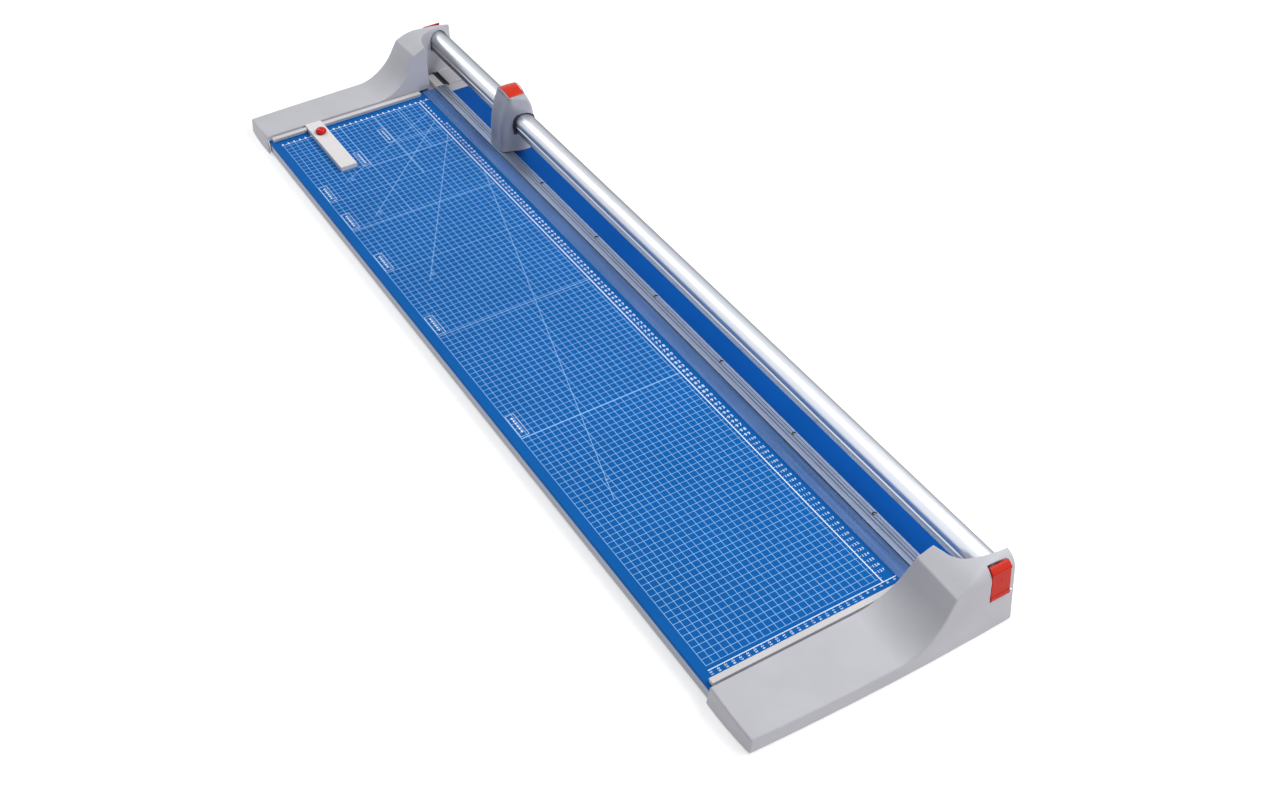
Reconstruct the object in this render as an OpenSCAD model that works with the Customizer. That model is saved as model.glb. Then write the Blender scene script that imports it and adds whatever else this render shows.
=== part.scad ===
// Rotary paper trimmer: a long grid table between two end caps, a guide rail, a cutting head
// with a round blade, a clamp strip, two stop bars and a sliding side stop.
// +X runs along the cut, +Y points to the guide rail, +Z is up.
// The origin lies on the desk under the middle of the footprint. All lengths are in millimetres.

/* [Table] */
// Cutting length between the two stop bars
cut_len = 1300; // [900:10:1400]
// Height of the printed table surface above the desk
table_z = 24; // [23:0.5:25]
// Distance of the table's front face from the centre line
table_front = 178.5; // [175:0.5:179]
// Thickness of the printed grid sheet
sheet_t = 1; // [0.6:0.1:1.2]
// Thickness of the folded steel sheet
steel_t = 1.5; // [1.2:0.1:1.8]
// Depth of the waste ledge below the table surface
ledge_drop = 9; // [7:0.5:10]
// Number of cross members under the table
cross_count = 5; // [3:1:7]

/* [Knife] */
// Distance of the cutting plane from the centre line
knife_y = 144; // [143.5:0.1:144]
// Width of the fixed knife bar
knife_w = 11.8; // [10:0.1:11.8]
// Spacing of the knife screws
knife_pitch = 170; // [120:5:175]
// Number of knife screws
knife_screw_count = 7; // [3:1:7]

/* [Guide rail] */
// Radius of the rail's round top
rail_r = 15.7; // [15:0.1:15.7]
// Distance of the rail's centre line behind the cutting plane
rail_back = 18.7; // [18.7:0.1:19]
// Height of the rail's centre line above the desk
rail_z = 79.3; // [79:0.1:80]
// Height of the straight sides below the rail's centre line
rail_side = 15.3; // [14:0.1:15.5]
// Wall thickness of the rail
rail_wall = 2.7; // [2.5:0.1:3]

/* [Cutting head] */
// Place of the head's centre along the cut
head_x = -436; // [-600:1:600]
// Height of the head's underside above the desk
head_foot = 29; // [29:0.1:29.5]
// Height of the head's top above the desk
head_top = 131; // [129:0.5:132]
// Wall thickness of the head shells
head_wall = 2.6; // [2.2:0.1:2.8]
// Radius of the rotary blade
blade_r = 24; // [22:0.5:24]
// Thickness of the rotary blade
blade_t = 1; // [0.8:0.1:1]
// Depth of the blade edge below the table surface
blade_dip = 1.5; // [1:0.1:2]
// Radius of the press rollers
roller_r = 5; // [4.5:0.1:5]

/* [Clamp strip] */
// Gap for the paper under the raised clamp strip
clamp_gap = 1.6; // [1.5:0.1:1.8]
// Width of the grooved track
track_w = 20.3; // [19.5:0.1:20.6]
// Width of the clear strip that shows
strip_w = 22.8; // [20:0.1:24]

/* [Stops] */
// Width of a stop bar
stop_w = 8.6; // [8:0.1:8.6]
// Height of a stop bar above the table
stop_h = 6.4; // [5:0.1:6.5]
// Length of the side stop over the table
side_len = 139; // [80:1:180]
// Width of the side stop
side_w = 28; // [24:0.1:34]
// Place of the side stop's centre across the table
side_y = -102.3; // [-140:0.1:-20]
// Radius of the lock button's dome
dome_r = 9; // [8:0.5:10]

/* [End caps] */
// Depth of an end cap from front to rear
cap_depth = 371; // [371:0.5:372]
// Wall thickness of an end cap
cap_t = 3; // [2.5:0.1:3]
// Height of the low arm at its inner edge
arm_z = 32; // [31:0.5:33]
// Slope of the low arm's top towards the outside
arm_tilt = 5.9; // [4:0.1:6]
// Radius of the concave ramp
ramp_r = 75; // [70:1:80]
// Distance of the ramp's start behind the centre line
ramp_y = 16.4; // [12:0.2:20]

/* [Latch] */
// Width of a rail latch
latch_w = 28.4; // [24:0.1:28.4]
// Height of a rail latch's upper edge above the desk
latch_top = 101; // [99:0.5:101]

/* [Hidden] */

half_len = cut_len / 2;
fit = 0.05;
gap = 0.3;
fn_round = 48;

// Table levels and edges
sheet_end = half_len + 12;
panel_top = table_z - sheet_t;
panel_under = panel_top - steel_t;
lip_h = 5.5;
skirt_z = 6;
carrier_z = 12;
knife_front = knife_y - knife_w;
carrier_front = knife_front - 4.2;
ledge_z = table_z - ledge_drop;
ledge_back = 182;
bar_end = half_len + 20;
panel_tab_y = [-165, 60];
knife_screw_y = knife_y - 7;
knife_screw_x = 545;
knife_screw_r = 2;

// End frame and feet, as offsets beyond the end of the cut
frame_base_z = 3;
frame_base_t = 2.5;
frame_in = 22;
frame_out = 86;
frame_back = 176;
upright_in = 77;
upright_t = 4;
upright_y = [147, 177.5];
upright_top = rail_z + 9;
neck_r = 8;
plug_r = rail_r - rail_wall - fit;
rail_end = 76;
foot_r = 10;
end_feet = [[45, -150], [50, 160]];
table_feet_y = [-150, 95];
cap_screw_at = [[74, -150], [74, -40], [58, 82]];
frame_post_at = [[34, -110], [34, 20]];

// Guide rail
rail_y = knife_y + rail_back;
rail_bottom = rail_z - rail_side;
rail_lip = 0.7;
rail_slot = 8;

// Clamp
clamp_z = table_z + clamp_gap;
track_h = 2.6;
rib_h = 0.8;
track_back = knife_y - 3.1;
track_front = track_back - track_w;
strip_t = 1.6;
tongue_t = 0.8;
track_end = half_len + 9;
track_bands = [
  [track_front, knife_y - 16.3], [knife_y - 15.2, knife_y - 11.5], [knife_y - 10.3, knife_y - 6.8],
  [knife_y - 6.2, track_back]
];
pin_at = [-3, knife_y - 7.4];
pin_r = 2;
pin_head_r = 3.4;

// Cutting head
axle_z = table_z - blade_dip + blade_r;
axle_r = 4;
bearing_r = 7;
hub_r = 12;
hub_front = knife_y - 8.8;
blade_front = knife_y + fit;
carrier_plate = [knife_y - 12, knife_y - 9.5];
roller_x = 12;
roller_z = clamp_z + track_h + fit + roller_r;
roller_y = [knife_y - 16.8, knife_y - 12.8];
roller_pin_r = 1.5;
bush_rib = [26.5, 29.5];
seat_rib = [17, 20];
seat_foot = head_foot + 0.3;
seat_top = 74.3;
shelf_z = [rail_z + rail_r + 3, rail_z + rail_r + 5.5];
button_x = 19.5;
button_y = [knife_y + 0.6, knife_y + 26.6];
button_under = 121;
spring_r = 5;
boss_r = 4;
screw_r = 1.6;
head_screw_at = [[137, 90], [166, 44], [169, 107]];

// Side stop
side_x = -half_len + 26;
side_top = table_z + 9;
side_foot = table_z + gap;

// Latch, as offset and height
latch_y = [knife_y + 1.6, knife_y + 1.6 + latch_w];
latch_pivot = [93.2, 55.5];
latch_barrel = 2.9;
latch_pin_r = 1.5;

// Carries its child to one end: +1 is the near end, -1 the far end. X is then the offset
// beyond the end of the cut.
module at_end(s) {
  mirror([s < 0 ? 1 : 0, 0, 0])
    translate([half_len, 0, 0])
      children();
}

module both_ends() {
  for (s = [-1, 1])
    at_end(s)
      children();
}

// Extrudes a (y, z) outline along X from x0 to x1
module along_x(x0, x1) {
  translate([x0, 0, 0])
    rotate([90, 0, 90])
      linear_extrude(x1 - x0)
        children();
}

// Extrudes an (x, z) outline along Y from y0 to y1
module along_y(y0, y1) {
  translate([0, y1, 0])
    rotate([90, 0, 0])
      linear_extrude(y1 - y0)
        children();
}

// A box between two opposite corners
module span(low, high) {
  translate(low)
    cube(high - low);
}

// A round bar along Y from y0 to y1 about (x, z)
module rod_y(x, z, r, y0, y1) {
  translate([x, y1, z])
    rotate([90, 0, 0])
      cylinder(h = y1 - y0, r = r, $fn = fn_round);
}

// A round bar along X from x0 to x1 about (y, z)
module rod_x(y, z, r, x0, x1) {
  translate([x0, y, z])
    rotate([0, 90, 0])
      cylinder(h = x1 - x0, r = r, $fn = fn_round);
}

// A round bar along Z from z0 to z1
module rod_z(x, y, r, z0, z1) {
  translate([x, y, z0])
    cylinder(h = z1 - z0, r = r, $fn = fn_round);
}

// A coil spring standing on z0, with squared ends
module coil(r, wire, z0, z1, turns) {
  translate([0, 0, z0 + wire / 2])
    linear_extrude(z1 - z0 - wire, twist = -360 * turns, slices = 16 * turns)
      translate([r, 0])
        circle(r = wire / 2, $fn = 8);
  for (z = [z0, z1 - wire])
    translate([0, 0, z])
      rotate_extrude($fn = 32)
        translate([r - wire / 2, 0])
          square([wire, wire]);
}

// ---- Table ----

// Printed sheet with a thick rounded front edge
module grid_sheet() {
  back = -table_front - 0.05;
  face = back - 1.85;
  color("#0f62ae")
    along_x(-sheet_end, sheet_end)
      polygon([
        [back, table_z - lip_h], [back, panel_top], [knife_front - 0.1, panel_top],
        [knife_front - 0.1, table_z], [face + 0.9, table_z], [face + 0.3, table_z - 0.3],
        [face, table_z - 0.9], [face, table_z - lip_h]
      ]);
}

module table_panel() {
  color("#8f959c")
    difference() {
      union() {
        span([-sheet_end, -table_front, skirt_z], [sheet_end, carrier_front - 0.2, panel_top]);
        span([-sheet_end, -table_front, panel_under], [sheet_end, knife_front - 0.1, panel_top]);
        span([-half_len - 60, panel_tab_y[0], panel_under], [half_len + 60, panel_tab_y[1], panel_top]);
      }
      span(
        [-sheet_end - 1, -table_front + steel_t, skirt_z - 1],
        [sheet_end + 1, carrier_front - 0.2 - steel_t, panel_under]
      );
      both_ends()
        for (at = frame_post_at)
          rod_z(at[0], at[1], 2, panel_under - 1, panel_top + 1);
    }
}

module cross_members() {
  width = 40;
  pitch = 2 * (half_len - 130) / (cross_count - 1);
  color("#7c8187")
    for (i = [0:cross_count - 1])
      translate([-half_len + 130 + i * pitch, 0, 0])
        difference() {
          span([-width / 2, -table_front + steel_t + 0.1, skirt_z], [width / 2, 126, panel_under]);
          span(
            [-width / 2 + steel_t, -table_front, skirt_z + steel_t],
            [width / 2 - steel_t, 130, panel_under - steel_t]
          );
        }
}

module front_trim() {
  back = -table_front - 0.05;
  face = back - 2;
  top = table_z - lip_h - 0.1;
  color("#c4c7cb")
    along_x(-sheet_end - 0.2, sheet_end + 0.2)
      polygon([
        [back, 2.8], [back, top], [face + 1.1, top], [face + 0.7, top - 0.4], [face, top - 7.4],
        [face + 0.5, top - 7.9], [face + 0.5, top - 8.9], [face, top - 9.4], [face, 3.6],
        [face + 0.8, 2.8]
      ]);
}

module waste_ledge() {
  front = knife_y + 0.1;
  color("#0a5bb0")
    difference() {
      span([-bar_end, front, frame_base_z], [bar_end, ledge_back, ledge_z]);
      span(
        [-bar_end - 1, front + steel_t, frame_base_z - 1],
        [bar_end + 1, ledge_back - steel_t, ledge_z - steel_t]
      );
      span([-bar_end - 1, front - 1, frame_base_z - 1], [bar_end + 1, front + steel_t + 1, skirt_z]);
    }
}

// ---- Fixed knife ----

module knife_carrier() {
  color("#9aa0a6")
    difference() {
      along_x(-bar_end, bar_end)
        polygon([
          [carrier_front, skirt_z], [knife_y + 0.1, skirt_z], [knife_y + 0.1, carrier_z],
          [knife_front, carrier_z], [knife_front, panel_under], [carrier_front, panel_under]
        ]);
      for (i = [0:knife_screw_count - 1])
        rod_z(
          knife_screw_x - i * knife_pitch, knife_screw_y, knife_screw_r + fit, skirt_z - 1, carrier_z + 1
        );
    }
}

module knife_bar() {
  color("#e6e8ea")
    difference() {
      along_x(-bar_end, bar_end)
        polygon([
          [knife_front, carrier_z], [knife_y - 0.8, carrier_z], [knife_y, carrier_z + 3],
          [knife_y, table_z], [knife_front, table_z]
        ]);
      for (i = [0:knife_screw_count - 1])
        translate([knife_screw_x - i * knife_pitch, knife_screw_y, 0]) {
          rod_z(0, 0, knife_screw_r + 0.1, carrier_z - 1, table_z);
          translate([0, 0, table_z - 2.4])
            cylinder(h = 2.41, r1 = knife_screw_r + 0.1, r2 = 4.5, $fn = fn_round);
        }
      both_ends()
        rod_z(pin_at[0], pin_at[1], pin_r + fit, table_z - 9, table_z + 1);
    }
}

module knife_screws() {
  color("#b8bcc0")
    for (i = [0:knife_screw_count - 1])
      translate([knife_screw_x - i * knife_pitch, knife_screw_y, 0])
        difference() {
          union() {
            rod_z(0, 0, knife_screw_r, skirt_z + 1, table_z - 2.4);
            translate([0, 0, table_z - 2.4])
              cylinder(h = 2.3, r1 = knife_screw_r, r2 = 4.3, $fn = fn_round);
          }
          translate([0, 0, table_z - 1.8])
            cylinder(h = 2, r = 1.4, $fn = 6);
        }
}

// ---- Stop bars ----

module stop_bar(s) {
  color("#dcdad8")
    at_end(s)
      difference() {
        translate([0, 91, 0])
          rotate([90, 0, 0])
            linear_extrude(91 + table_front - 2.5)
              polygon([
                [1.4, table_z], [stop_w, table_z], [stop_w, table_z + stop_h - 0.5],
                [stop_w - 0.5, table_z + stop_h], [0.5, table_z + stop_h], [0, table_z + stop_h - 0.5],
                [0, table_z + stop_h - 2.4], [1.4, table_z + stop_h - 3]
              ]);
        for (y = [-150, -40, 70])
          rod_z(stop_w / 2, y, 1.5 + fit, table_z - 1, table_z + 4.5);
      }
}

module far_stop_bar() {
  stop_bar(-1);
}

module near_stop_bar() {
  stop_bar(1);
}

// Screws that hold the stop bars from below, through the panel and the sheet
module stop_bar_screws() {
  color("#b8bcc0")
    both_ends()
      for (y = [-150, -40, 70]) {
        rod_z(stop_w / 2, y, 1.5, table_z + 0.02, table_z + 4.3);
      }
}

// ---- Guide rail ----

// Outline of the rail, grown by g
module rail_outline(g) {
  half_w = rail_r + g;
  translate([rail_y, rail_z])
    circle(r = half_w, $fn = 96);
  translate([rail_y - half_w, rail_bottom - g])
    square([2 * half_w, rail_side + g]);
  translate([rail_y - half_w - rail_lip, rail_z - 6 - g])
    square([2 * (half_w + rail_lip), 2.2 + 2 * g]);
}

module guide_rail() {
  inner = rail_r - rail_wall;
  color("#cfd1d4")
    difference() {
      along_x(-half_len - rail_end, half_len + rail_end)
        difference() {
          rail_outline(0);
          translate([rail_y, rail_z])
            circle(r = inner, $fn = 96);
          translate([rail_y - inner, rail_bottom + rail_wall])
            square([2 * inner, rail_side - rail_wall]);
          translate([rail_y - rail_slot / 2, rail_bottom - 1])
            square([rail_slot, rail_wall + 2]);
          for (side = [-1, 1])
            translate([rail_y + side * rail_r - 0.6, rail_z - 2.4])
              square([1.2, 1.4]);
        }
    }
}

// Turned plugs in the rail's ends: spigot, neck for the frame's fork, collar for the latch
module rail_end_plugs() {
  collar = 81.2;
  color("#5d6268")
    both_ends()
      difference() {
        union() {
          rod_x(rail_y, rail_z, plug_r, 60, rail_end);
          rod_x(rail_y, rail_z, neck_r, rail_end, collar);
          rod_x(rail_y, rail_z, 11, collar, collar + 3);
        }
        span([collar + 1, rail_y - 8.4, rail_z - 4.6], [collar + 4, rail_y + 2.6, rail_z + 4]);
      }
}

// ---- End frames, screws and feet ----

module end_frame(s) {
  base_top = frame_base_z + frame_base_t;
  color("#6d7278")
    at_end(s)
      difference() {
        union() {
          span([frame_in, -165, frame_base_z], [frame_out, frame_back, base_top]);
          span(
            [upright_in, upright_y[0], base_top], [upright_in + upright_t, upright_y[1], upright_top]
          );
          for (at = frame_post_at)
            rod_z(at[0], at[1], 6, base_top, panel_under);
        }
        rod_x(rail_y, rail_z, neck_r + fit, upright_in - 1, upright_in + upright_t + 1);
        span(
          [upright_in - 1, rail_y - neck_r - fit, rail_z],
          [upright_in + upright_t + 1, rail_y + neck_r + fit, upright_top + 1]
        );
        for (at = cap_screw_at)
          rod_z(at[0], at[1], 2, 0, base_top + 1);
        for (at = frame_post_at)
          rod_z(at[0], at[1], 2 - fit, base_top + 3, panel_under + 1);
      }
}

module far_end_frame() {
  end_frame(-1);
}

module near_end_frame() {
  end_frame(1);
}

// Screws that hold the table panel on the frame posts
module frame_screws() {
  color("#b8bcc0")
    both_ends()
      for (at = frame_post_at) {
        rod_z(at[0], at[1], 2 - 2 * fit, panel_top - 12, panel_top);
        rod_z(at[0], at[1], 4, panel_top, panel_top + 2.2);
      }
}

// Screws that hold the end caps down on the end frames
module cap_screws() {
  color("#b8bcc0")
    both_ends()
      for (at = cap_screw_at) {
        rod_z(at[0], at[1], 4, frame_base_z - 1.8, frame_base_z);
        rod_z(at[0], at[1], screw_r, frame_base_z, frame_base_z + 15);
      }
}

module rubber_feet() {
  cross_pitch = 2 * (half_len - 130) / (cross_count - 1);
  color("#2b2c2e") {
    both_ends()
      for (at = end_feet)
        rod_z(at[0], at[1], foot_r, 0, frame_base_z);
    for (x = [-half_len + 130 + cross_pitch, half_len - 130 - cross_pitch], y = table_feet_y)
      rod_z(x, y, foot_r, 0, skirt_z);
  }
}

// ---- End caps ----

// Side outline of the cap without its ramp, drawn t inside the skin
module cap_side(t) {
  front = -cap_depth / 2 + t;
  back = cap_depth / 2 - t;
  rear_top = 100.2 - t;
  polygon(concat(
    [[front, -5], [front, 4], [front + 1.4, 12], [front + 2.9, arm_z], [front + 2.9, 60]],
    [[93.3, 90.4 - t], [116, 100.3 - t]],
    [for (a = [0.2:0.2:0.8]) [
      116 + a * (back - 116), 100.3 - t + a * (rear_top - 100.3 + t) + 14 * a * (1 - a)
    ]],
    [[back, rear_top], [back, -5]]
  ));
}

// Air above the low arm and in front of the ramp; t grows it
module ramp_air(t) {
  centre_z = arm_z + ramp_r;
  r = ramp_r + t;
  foot = [ramp_y + r * sin(60), centre_z - r * cos(60)];
  translate([ramp_y, centre_z])
    circle(r = r, $fn = 180);
  polygon([
    [-300, arm_z - t], [ramp_y, arm_z - t], [ramp_y, centre_z], foot,
    foot + [45, 45 * tan(60)], [-300, foot[1] + 45 * tan(60)]
  ]);
}

// Cross outline of the cap in offset and height: leaning inner wall, rounded outer shoulder
module cap_cross(t) {
  shoulder = [75.6, 84];
  shoulder_r = 17.2 - t;
  lean = 0.143;
  inner = 12.7 + t;
  translate(shoulder)
    circle(r = shoulder_r, $fn = 96);
  polygon([
    [inner + lean * (-5 - arm_z), -5], [inner + lean * (120 - arm_z), 120], [shoulder[0], 120],
    [shoulder[0], shoulder[1]], [shoulder[0] + shoulder_r, shoulder[1]], [98 - t, 50], [98 - t, -5]
  ]);
}

// The closed form of the cap, t inside its skin
module cap_form(t) {
  bow_r = 4205;
  bow_y = 46;
  front_r = 600;
  intersection() {
    difference() {
      along_x(0, 110)
        cap_side(t);
      translate([12.7, 0, arm_z])
        rotate([0, arm_tilt, 0])
          translate([0, 0, -arm_z])
            along_x(-40, 120)
              ramp_air(t);
    }
    along_y(-200, 200)
      cap_cross(t);
    translate([97.6 - bow_r, bow_y, -10])
      cylinder(h = 140, r = bow_r - t, $fn = 1440);
    translate([32, -cap_depth / 2 + front_r, -10])
      cylinder(h = 140, r = front_r - t, $fn = 360);
  }
}

// The parking pocket round the rail's end, grown by t
module pocket(t) {
  floor_z = 20;
  sweep_r = 96.8;
  translate([0, 0, floor_z - t])
    linear_extrude(120)
      intersection() {
        polygon([[-5, 110.6 - t], [80, 128.2 - t], [80, 200], [-5, 200]]);
        translate([-27, 176])
          circle(r = sweep_r + t, $fn = 360);
      }
}

// Lip of the pocket's floor that covers the end of the waste ledge
module pocket_lip() {
  lip_front = knife_y + 0.8;
  lip_top = ledge_z + 1.4;
  along_y(lip_front, 182)
    polygon([
      [1.2, ledge_z + 0.05], [22, ledge_z + 0.05], [22, 20], [20.3, 20], [20.3, lip_top], [1.7, lip_top],
      [1.2, lip_top - 0.5]
    ]);
}

module end_cap(s) {
  boss = 5;
  window = 0.35;
  notch = [92.5, 115, 35];
  color("#c3c3ca")
    at_end(s) {
      pocket_lip();
      difference() {
        union() {
          difference() {
            cap_form(0);
            difference() {
              cap_form(cap_t);
              pocket(cap_t);
            }
          }
          intersection() {
            cap_form(1);
            union() {
              for (at = cap_screw_at)
                rod_z(at[0], at[1], boss, frame_base_z + frame_base_t + 0.1, 60);
              for (y = [latch_y[0] - 4.6, latch_y[1] + 0.6])
                span([85, y, 48], [96, y + 4, 63]);
            }
          }
        }
        // pocket for the parked head, and the level below which the frame stands
        pocket(0);
        span([-5, -200, -10], [110, 200, 2]);
        // the table, the knife and the ledge pass under the inner wall
        span([-5, -cap_depth / 2 + cap_t + 0.5, -10], [20.5, 182, table_z + 0.2]);
        span([-5, knife_front - 12, -10], [bar_end - half_len + 0.3, 200, table_z + 0.2]);
        // notch in the inner wall at the end of the clear strip
        span([-5, notch[0], 0], [14, notch[1], notch[2]]);
        // hole for the rail
        along_x(60, 76)
          rail_outline(0.5);
        for (at = cap_screw_at)
          rod_z(at[0], at[1], screw_r + fit, 0, 24);
        // window and pin holes for the latch
        span([80, latch_y[0] - window, latch_pivot[1] - 3.4], [110, latch_y[1] + window, latch_top + 0.5]);
        rod_y(latch_pivot[0], latch_pivot[1], latch_pin_r + 0.01, latch_y[0] - 4, latch_y[1] + 4);
      }
    }
}

module far_end_cap() {
  end_cap(-1);
}

module near_end_cap() {
  end_cap(1);
}

// ---- Rail latches ----

module latch(s) {
  tongue_y = [latch_y[0] + 9, latch_y[0] + 17.6];
  color("#d8402a")
    at_end(s)
      difference() {
        union() {
          along_y(latch_y[0], latch_y[1])
            difference() {
              union() {
                translate(latch_pivot)
                  circle(r = latch_barrel, $fn = fn_round);
                polygon([
                  latch_pivot + [-2.9, 0], latch_pivot + [2.9, 0], [91.9, latch_top - 8],
                  [92.8, latch_top - 7.2], [92.6, latch_top - 5.4], [91.8, latch_top - 4.8],
                  [84.6, latch_top], [86.5, 94], [89.6, 84]
                ]);
              }
              translate(latch_pivot)
                circle(r = latch_pin_r + fit, $fn = fn_round);
            }
          span([82.7, tongue_y[0], rail_z - 3.2], [91, tongue_y[1], rail_z + 1.8]);
        }
        // finger groove under the lip
        rod_y(94.2, latch_top - 9.6, 1.9, latch_y[0] + 2, latch_y[1] - 2);
      }
}

module far_latch() {
  latch(-1);
}

module near_latch() {
  latch(1);
}

module latch_pins() {
  color("#b8bcc0")
    both_ends()
      rod_y(latch_pivot[0], latch_pivot[1], latch_pin_r, latch_y[0] - 3.8, latch_y[1] + 3.8);
}

// ---- Clamp strip ----

module clamp_track() {
  rib_top = clamp_z + track_h;
  plate_top = rib_top - rib_h;
  color("#b4b9c2")
    difference() {
      along_x(-track_end, track_end) {
        polygon([
          [track_front, clamp_z + tongue_t + 0.02], [track_front + 2.8, clamp_z + tongue_t + 0.02],
          [track_front + 2.8, clamp_z], [track_back, clamp_z], [track_back, plate_top],
          [track_front, plate_top]
        ]);
        for (band = track_bands)
          translate([band[0], plate_top])
            square([band[1] - band[0], rib_h]);
      }
      for (i = [0:knife_screw_count - 1])
        rod_z(knife_screw_x - i * knife_pitch, knife_screw_y, 3.2, clamp_z - 1, rib_top + 1);
      both_ends() {
        rod_z(pin_at[0], pin_at[1], pin_r + fit, clamp_z - 1, rib_top + 1);
        rod_z(pin_at[0], pin_at[1], pin_head_r + 0.2, clamp_z + 1.3, rib_top + 1);
      }
    }
}

module clamp_strip() {
  front = track_front - strip_w;
  color([0.75, 0.88, 0.95, 0.5])
    along_x(-track_end, track_end)
      polygon([
        [front, clamp_z + 0.4], [front + 0.4, clamp_z], [track_front + 2.78, clamp_z],
        [track_front + 2.78, clamp_z + tongue_t], [track_front - 0.02, clamp_z + tongue_t],
        [track_front - 0.02, clamp_z + strip_t], [front + 0.8, clamp_z + strip_t], [front, clamp_z + 0.9]
      ]);
}

// Shoulder pins that guide the clamp at its two ends
module clamp_pins() {
  color("#9aa0a6")
    both_ends() {
      rod_z(pin_at[0], pin_at[1], pin_r, table_z - 8.5, clamp_z + 1.3);
      rod_z(pin_at[0], pin_at[1], pin_head_r, clamp_z + 1.3, clamp_z + 2.4);
    }
}

// Dished washers that hold the clamp up
module clamp_springs() {
  color("#b8bcc0")
    both_ends()
      translate([pin_at[0], pin_at[1], 0])
        rotate_extrude($fn = fn_round)
          polygon([
            [pin_r + 0.15, clamp_z - 0.32], [pin_r + 0.15, clamp_z - 0.02], [3.6, table_z + 0.32],
            [3.6, table_z + 0.02]
          ]);
}

// Blocks that carry the clamp past the knife's ends, slotted for the blade
module clamp_end_blocks() {
  top = table_z + 3.6;
  slot_floor = axle_z - blade_r - 0.5;
  color("#1d1e20")
    both_ends()
      difference() {
        along_y(knife_y - 5.6, knife_y + 4.4)
          polygon([
            [9.5, table_z + 0.05], [20.8, table_z + 0.05], [20.8, 20.05], [58, 20.05], [58, top - 2],
            [56, top], [11, top], [9.5, top - 1.5]
          ]);
        span([5, knife_y - 0.6, slot_floor], [60, knife_y + 1.8, top + 1]);
      }
}

// Light plates in line with the clamp strip
module clamp_end_plates() {
  top = table_z + 3.4;
  color("#dcdad6")
    both_ends()
      along_y(knife_y - 19, knife_y - 5.8)
        polygon([
          [9.5, table_z + 0.05], [20.8, table_z + 0.05], [20.8, 20.05], [52, 20.05], [52, top - 1],
          [51, top], [9.5, top]
        ]);
}

// ---- Cutting head ----

// Side outline of the head in y and z
module head_side() {
  polygon([
    [knife_y - 19.5, head_foot], [knife_y - 21.4, head_foot + 3], [knife_y - 20.4, 44],
    [knife_y - 18.6, 60], [knife_y - 16.4, 76], [knife_y - 13, 91], [knife_y - 8, 106],
    [knife_y - 3.5, 116], [knife_y + 0.5, 123.5], [knife_y + 5, head_top - 2.6],
    [knife_y + 12, head_top - 1], [knife_y + 21, head_top], [knife_y + 26, head_top - 1],
    [knife_y + 28, head_top - 5], [knife_y + 30.5, 118], [knife_y + 34, 104],
    [knife_y + 38, 86], [knife_y + 39, 72], [knife_y + 37.5, 56], [knife_y + 33, 42],
    [knife_y + 29.5, head_foot + 2], [knife_y + 28, head_foot]
  ]);
}

// Plan outline of the head in x and y
module head_plan() {
  polygon([
    [-12, knife_y - 21.4], [12, knife_y - 21.4], [19, knife_y - 19], [22, knife_y - 14],
    [28, knife_y - 4], [34, knife_y + 8], [36, knife_y + 19], [35, knife_y + 29],
    [31, knife_y + 39], [-31, knife_y + 39], [-35, knife_y + 29], [-36, knife_y + 19],
    [-34, knife_y + 8], [-28, knife_y - 4], [-22, knife_y - 14], [-19, knife_y - 19]
  ]);
}

// Front outline of the head in x and z
module head_front() {
  polygon([
    [-33, head_foot], [33, head_foot], [33.5, head_foot + 3], [31.5, 42], [32.5, 56], [36, 74],
    [36, 90], [31, 106], [25.5, 118], [21, head_top - 6.5], [19, head_top - 5.2],
    [10, head_top - 1.5], [4, head_top], [-4, head_top], [-10, head_top - 1.5],
    [-19, head_top - 5.2], [-21, head_top - 6.5], [-25.5, 118], [-31, 106], [-36, 90], [-36, 74],
    [-32.5, 56], [-31.5, 42], [-33.5, head_foot + 3]
  ]);
}

// The closed form of the head, t inside its skin
module head_form(t) {
  intersection() {
    along_x(-50, 50)
      offset(delta = -t)
        head_side();
    along_y(100, 200)
      offset(delta = -t)
        head_front();
    linear_extrude(140)
      offset(delta = -t)
        head_plan();
  }
}

module head_shell(s) {
  color("#9a9ba5")
    translate([head_x, 0, 0])
      difference() {
        union() {
          difference() {
            head_form(0);
            head_form(head_wall);
          }
          intersection() {
            head_form(0.5);
            union() {
              // ribs that seat the bushes and the blade carrier
              for (side = [0, 1])
                mirror([side, 0, 0]) {
                  span([bush_rib[0], 100, 0], [bush_rib[1], 200, 140]);
                  span([seat_rib[0], 100, 0], [seat_rib[1], knife_y - 3, 90]);
                }
              // shelf under the button spring
              span([-50, 100, shelf_z[0]], [50, 200, shelf_z[1]]);
              for (at = head_screw_at)
                rod_x(at[0], at[1], boss_r, -50, 50);
            }
          }
        }
        // the other half
        span([s > 0 ? -60 : 0, 90, 0], [s > 0 ? 0 : 60, 210, 150]);
        along_x(-60, 60)
          rail_outline(1);
        for (side = [-1, 1])
          translate([side * 28, 0, 0])
            along_x(-3.1, 3.1)
              rail_outline(3.3);
        // slot for the blade and its hub, wells for the rollers, seat for the carrier
        span([-25.5, knife_y - 0.8, 0], [25.5, knife_y + 2.4, 75]);
        for (side = [-1, 1])
          span(
            [side * roller_x - 6, roller_y[0] - 0.6, 0],
            [side * roller_x + 6, roller_y[1] + 0.6, roller_z + 6]
          );
        span(
          [-seat_rib[1] + 0.3, carrier_plate[0] - fit, seat_foot],
          [seat_rib[1] - 0.3, carrier_plate[1] + fit, seat_top]
        );
        // opening for the button
        span([-button_x - 0.4, button_y[0] - 0.4, 116], [button_x + 0.4, button_y[1] + 0.4, 140]);
        for (at = head_screw_at) {
          rod_x(at[0], at[1], screw_r + fit, -60, 20);
          rod_x(at[0], at[1], 3.2, -60, -22);
        }
      }
}

module head_shell_far() {
  head_shell(-1);
}

module head_shell_near() {
  head_shell(1);
}

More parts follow.
